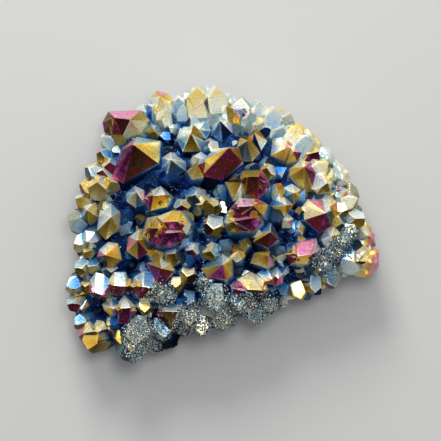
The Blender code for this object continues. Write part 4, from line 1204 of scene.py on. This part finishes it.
def step_points(crests):
    """Low points grown on the ends of ridge-tipped large ones, parallel to them, as steps near the tip. Their
    faces toward the lit side take a painted highlight, the rest painted shade.
    """
    rng = random.Random(STEP_SEED)
    made = templates(rng)
    field = PointField()
    for axis, tips, shoulders, film_lights in crests:
        dark = [k for k, film_light in enumerate(film_lights) if film_light in STEP_HOSTS]
        if len(tips) < 2 or not dark:
            continue
        size = sum((corner - tips[0]).length for corner in shoulders) / len(shoulders)
        for _ in range(STEP_COUNT):
            k = rng.choice(dark)
            corner, after = shoulders[k], shoulders[(k + 1) % len(shoulders)]
            tip = rng.choice(tips)
            outer = corner.lerp(after, rng.random())
            place = tip.lerp(outer, rng.uniform(*STEP_REACH))
            angle = math.radians(60 * rng.randrange(6) + STEP_TURN_DEG)
            radius = rng.uniform(*STEP_RADIUS) * size / STEP_HOST
            peak = np.array(place + axis * radius * rng.uniform(*STEP_RAISE))
            bright, shaded = rng.choice(STEP_HIGHLIGHTS), rng.choice(STEP_SHADED)
            field.add(rng.choice(made), peak, axis, angle, radius, STEP_STANDING * radius,
                      lambda normal: bright if facing_lit_side(normal) > STEP_LIT else shaded, least_end=-1)
    return field.build("steps")


def read_rows(items, key, width, kind):
    """One property of all items of a mesh, as rows."""
    values = np.empty(len(items) * width, kind)
    items.foreach_get(key, values)
    return values.reshape(-1, width)


def surface_places(cluster, count, rng, wanted):
    """Places spread evenly by area over the cluster's faces that are wanted, and the ways they look.

    A face whose corners have no height along a point belongs to the valley floor.
    """
    mesh = cluster.data
    mesh.calc_loop_triangles()
    rises = read_rows(mesh.attributes["rise"].data, "value", 1, np.float32)[:, 0]
    floor = np.abs(rises[read_rows(mesh.loop_triangles, "loops", 3, np.int32)]).max(1) < 1e-6
    corners = read_rows(mesh.loop_triangles, "vertices", 3, np.int32)
    triangles = read_rows(mesh.vertices, "co", 3, np.float32)[corners].astype(float) / MM
    across = np.cross(triangles[:, 1] - triangles[:, 0], triangles[:, 2] - triangles[:, 0])
    area = np.linalg.norm(across, axis=1)
    facing = across / np.maximum(area, 1e-12)[:, None]
    chance = area * wanted(triangles.mean(1), facing, floor)
    picked = rng.choice(len(area), count, p=chance / chance.sum())
    a, b = rng.random(count), rng.random(count)
    a, b = np.where(a + b > 1, 1 - a, a), np.where(a + b > 1, 1 - b, b)
    first, second, third = triangles[picked].transpose(1, 0, 2)
    places = first + (second - first) * a[:, None] + (third - first) * b[:, None]
    return places, facing[picked]


def grain_points(cluster):
    """Grains like sugar over the rough points, and sparkles on the valley floors."""
    numbers = np.random.default_rng(GRAIN_SEED)
    rng = random.Random(GRAIN_SEED)
    made = chips(rng)
    field = PointField()

    def sugary(middles, normals, floor):
        shares = sugar_share(middles[:, 0], middles[:, 1]) * np.where(floor, SUGAR_ON_FLOOR, 1)
        return shares * (normals[:, 2] > SUGAR_FACING) * (middles[:, 2] > SUGAR_LOWEST)

    def valley(middles, normals, floor):
        return floor * (middles[:, 2] > SPARKLE_LOWEST) * (normals[:, 2] > 0)

    for count, wanted, film_lights in (
        (SUGAR_GRAINS, sugary, SUGAR_FILM_LIGHTS),
        (SPARKLES, valley, SPARKLE_FILM_LIGHTS),
    ):
        for place, normal in zip(*surface_places(cluster, count, numbers, wanted)):
            radius = rng.uniform(*GRAIN_RADIUS)
            axis = strayed(Vector(normal), GRAIN_STRAY, rng)
            angle = rng.uniform(0, math.tau)
            tall = radius * rng.uniform(*GRAIN_STANDING)
            peak = place + np.array(axis) * tall
            field.add(rng.choice(made), peak, axis, angle, radius, tall, lambda _: rng.choice(film_lights))
    return field.build("grains")


# ---------------------------------------------------------------- materials


def map_range(tree, value, before, after):
    """Spreads a node's value from one range over another."""
    made = tree.nodes.new("ShaderNodeMapRange")
    for key, number in zip(("From Min", "From Max", "To Min", "To Max"), (*before, *after)):
        made.inputs[key].default_value = number
    tree.links.new(value, made.inputs["Value"])
    return made.outputs["Result"]


def film_ramp(tree, film):
    """The film's colour by its thickness."""
    ramp = tree.nodes.new("ShaderNodeValToRGB")
    stops = ramp.color_ramp.elements
    while len(stops) > 1:
        stops.remove(stops[-1])
    stops[0].position = FILM_COLOURS[0][0]
    stops[0].color = (*FILM_COLOURS[0][1], 1)
    for at, colour in FILM_COLOURS[1:]:
        stops.new(at).color = (*colour, 1)
    tree.links.new(film, ramp.inputs["Fac"])
    return ramp.outputs["Color"]


def film_material():
    """The coated quartz: film colours by thickness, mottled, darkened by painted shade and whitened by
    painted highlights, with striated sides.
    """
    material = bpy.data.materials.new("aura_quartz")
    material.use_nodes = True
    tree = material.node_tree
    shader = tree.nodes["Principled BSDF"]
    shader.inputs["Metallic"].default_value = METALLIC
    shader.inputs["IOR"].default_value = INDEX
    shader.inputs["Specular IOR Level"].default_value = SPECULAR
    link = tree.links.new
    coords = tree.nodes.new("ShaderNodeTexCoord").outputs["Object"]

    def attribute(name):
        made = tree.nodes.new("ShaderNodeAttribute")
        made.attribute_name = name
        return made.outputs["Fac"]

    def fine_noise(scale, detail, roughness):
        made = tree.nodes.new("ShaderNodeTexNoise")
        made.inputs["Scale"].default_value = scale
        made.inputs["Detail"].default_value = detail
        made.inputs["Roughness"].default_value = roughness
        link(coords, made.inputs["Vector"])
        return made.outputs["Fac"]

    def math_node(operation, a, b):
        made = tree.nodes.new("ShaderNodeMath")
        made.operation = operation
        for socket, value in zip(made.inputs, (a, b)):
            if isinstance(value, (int, float)):
                socket.default_value = value
            else:
                link(value, socket)
        return made.outputs[0]

    def noise_range(kind, low, high):
        return map_range(tree, fine_noise(*kind), NOISE_SPAN, (low, high))

    # The film's colour, mottled the more the thicker it is.
    film = attribute("film")
    thick = math_node("MAXIMUM", math_node("SUBTRACT", film, MOTTLE_FROM), 0.0)
    amount = math_node("ADD", math_node("MULTIPLY", thick, MOTTLE_GROWTH), MOTTLE_LEAST)
    coarse, fine = noise_range(COARSE_MOTTLE, -1.0, 1.0), noise_range(FINE_MOTTLE, -FINE_SHARE, FINE_SHARE)
    mottle = math_node("ADD", coarse, fine)
    film = math_node("ADD", film, math_node("MULTIPLY", mottle, amount))
    colour = film_ramp(tree, film)

    # The painted light: below 1 it darkens the colour as painted shade, and past 1 it fades it toward white
    # as a painted highlight.
    glow = math_node("MULTIPLY", attribute("glow"), noise_range(PAINTED_LIGHT_NOISE, *PAINTED_LIGHT_RANGE))
    dim = tree.nodes.new("ShaderNodeVectorMath")
    dim.operation = "SCALE"
    link(colour, dim.inputs[0])
    link(math_node("MINIMUM", glow, 1.0), dim.inputs["Scale"])
    highlighted = tree.nodes.new("ShaderNodeMixRGB")
    highlighted.inputs["Color2"].default_value = PAINTED_HIGHLIGHT
    link(math_node("MAXIMUM", math_node("SUBTRACT", glow, 1.0), 0.0), highlighted.inputs["Fac"])
    link(dim.outputs["Vector"], highlighted.inputs["Color1"])
    link(highlighted.outputs["Color"], shader.inputs["Base Color"])
    link(noise_range(ROUGHNESS_NOISE, *ROUGHNESS), shader.inputs["Roughness"])

    # Striations across the points, and a fine grain.
    rows = tree.nodes.new("ShaderNodeTexNoise")
    rows.noise_dimensions = "1D"
    rows.inputs["Scale"].default_value = STRIATIONS
    rows.inputs["Detail"].default_value = STRIATION_DETAIL
    link(attribute("rise"), rows.inputs["W"])
    striated = math_node("MULTIPLY", rows.outputs["Fac"], STRIATION_SHARE)
    bump = tree.nodes.new("ShaderNodeBump")
    bump.inputs["Strength"].default_value = BUMP_STRENGTH
    bump.inputs["Distance"].default_value = BUMP_DISTANCE
    link(math_node("ADD", striated, fine_noise(*BUMP_NOISE)), bump.inputs["Height"])
    link(bump.outputs["Normal"], shader.inputs["Normal"])
    return material


# ---------------------------------------------------------------- studio


def area_light(name, place, size, watts):
    light = bpy.data.lights.new(name, "AREA")
    light.shape = "SQUARE"
    light.size = size
    light.energy = watts
    light.color = LIGHT_COLOUR
    obj = new_object(name, light)
    obj.location = place
    obj.rotation_euler = (Vector(LIGHT_AIM) - Vector(place)).to_track_quat("-Z", "Y").to_euler()


def soft_sky():
    """Even grey light all round, brighter from the far side."""
    world = bpy.data.worlds.new("studio")
    world.use_nodes = True
    tree = world.node_tree
    coords = tree.nodes.new("ShaderNodeTexCoord")
    split = tree.nodes.new("ShaderNodeSeparateXYZ")
    background = tree.nodes["Background"]
    background.inputs["Color"].default_value = SKY_COLOUR
    tree.links.new(coords.outputs["Generated"], split.inputs["Vector"])
    strength = map_range(tree, split.outputs["Y"], SKY_SPAN, SKY_STRENGTH)
    tree.links.new(strength, background.inputs["Strength"])
    return world


def floor_material():
    material = bpy.data.materials.new("floor")
    material.use_nodes = True
    shader = material.node_tree.nodes["Principled BSDF"]
    shader.inputs["Base Color"].default_value = FLOOR_COLOUR
    shader.inputs["Roughness"].default_value = FLOOR_ROUGHNESS
    return material


def studio():
    """A pale floor, soft light from the far side and above, and the camera looking straight down."""
    scene = bpy.context.scene
    scene.view_settings.view_transform = "Standard"
    scene.world = soft_sky()
    for light in LIGHTS:
        area_light(*light)
    bpy.ops.mesh.primitive_plane_add(size=FLOOR_SIZE)
    floor = bpy.context.object
    floor.name = "floor"
    floor.data.materials.append(floor_material())
    camera = bpy.data.cameras.new("camera")
    camera.lens = SENSOR_WIDTH * (CAMERA_PLACE[2] - FRAMED_LEVEL) / FRAMED_WIDTH
    camera.clip_end = CAMERA_REACH
    scene.camera = new_object("camera", camera)
    scene.camera.location = CAMERA_PLACE


def grow_points(points):
    """All large points, table by table. Returns their axes, and the ends of the key points."""
    rng = random.Random(SHAPE_SEED)
    looks = random.Random(SHAPE_SEED + 1)
    large, crests = [], []
    for number, row in enumerate(CROWN_POINTS + LEFT_POINTS + TOP_POINTS + RIGHT_POINTS + LOWER_POINTS):
        large.append(add_point(points, f"point_{number:03d}", row, rng, looks))
    for number, row in enumerate(KEY_POINTS):
        place, crest = add_key_point(points, f"key_{number:02d}", row, looks)
        large.append(place)
        crests.append(crest)
    for number, (row, level) in enumerate(girdle_points()):
        large.append(add_point(points, f"girdle_{number:02d}", row, rng, looks, level))
    return large, crests


def main():
    clear_scene()
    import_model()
    points = bpy.data.collections.new("points")
    bpy.context.scene.collection.children.link(points)
    large, crests = grow_points(points)
    cluster = build_lump(large)
    fuse(cluster, points)
    small = fill_points(large)
    steps = step_points(crests)
    mounds = rim_mounds()
    grains = grain_points(cluster)
    material = film_material()
    for piece in (cluster, small, steps, mounds, grains):
        piece.data.materials.clear()
        piece.data.materials.append(material)
        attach(piece, BODY)
        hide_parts(NODE)
    studio()


main()
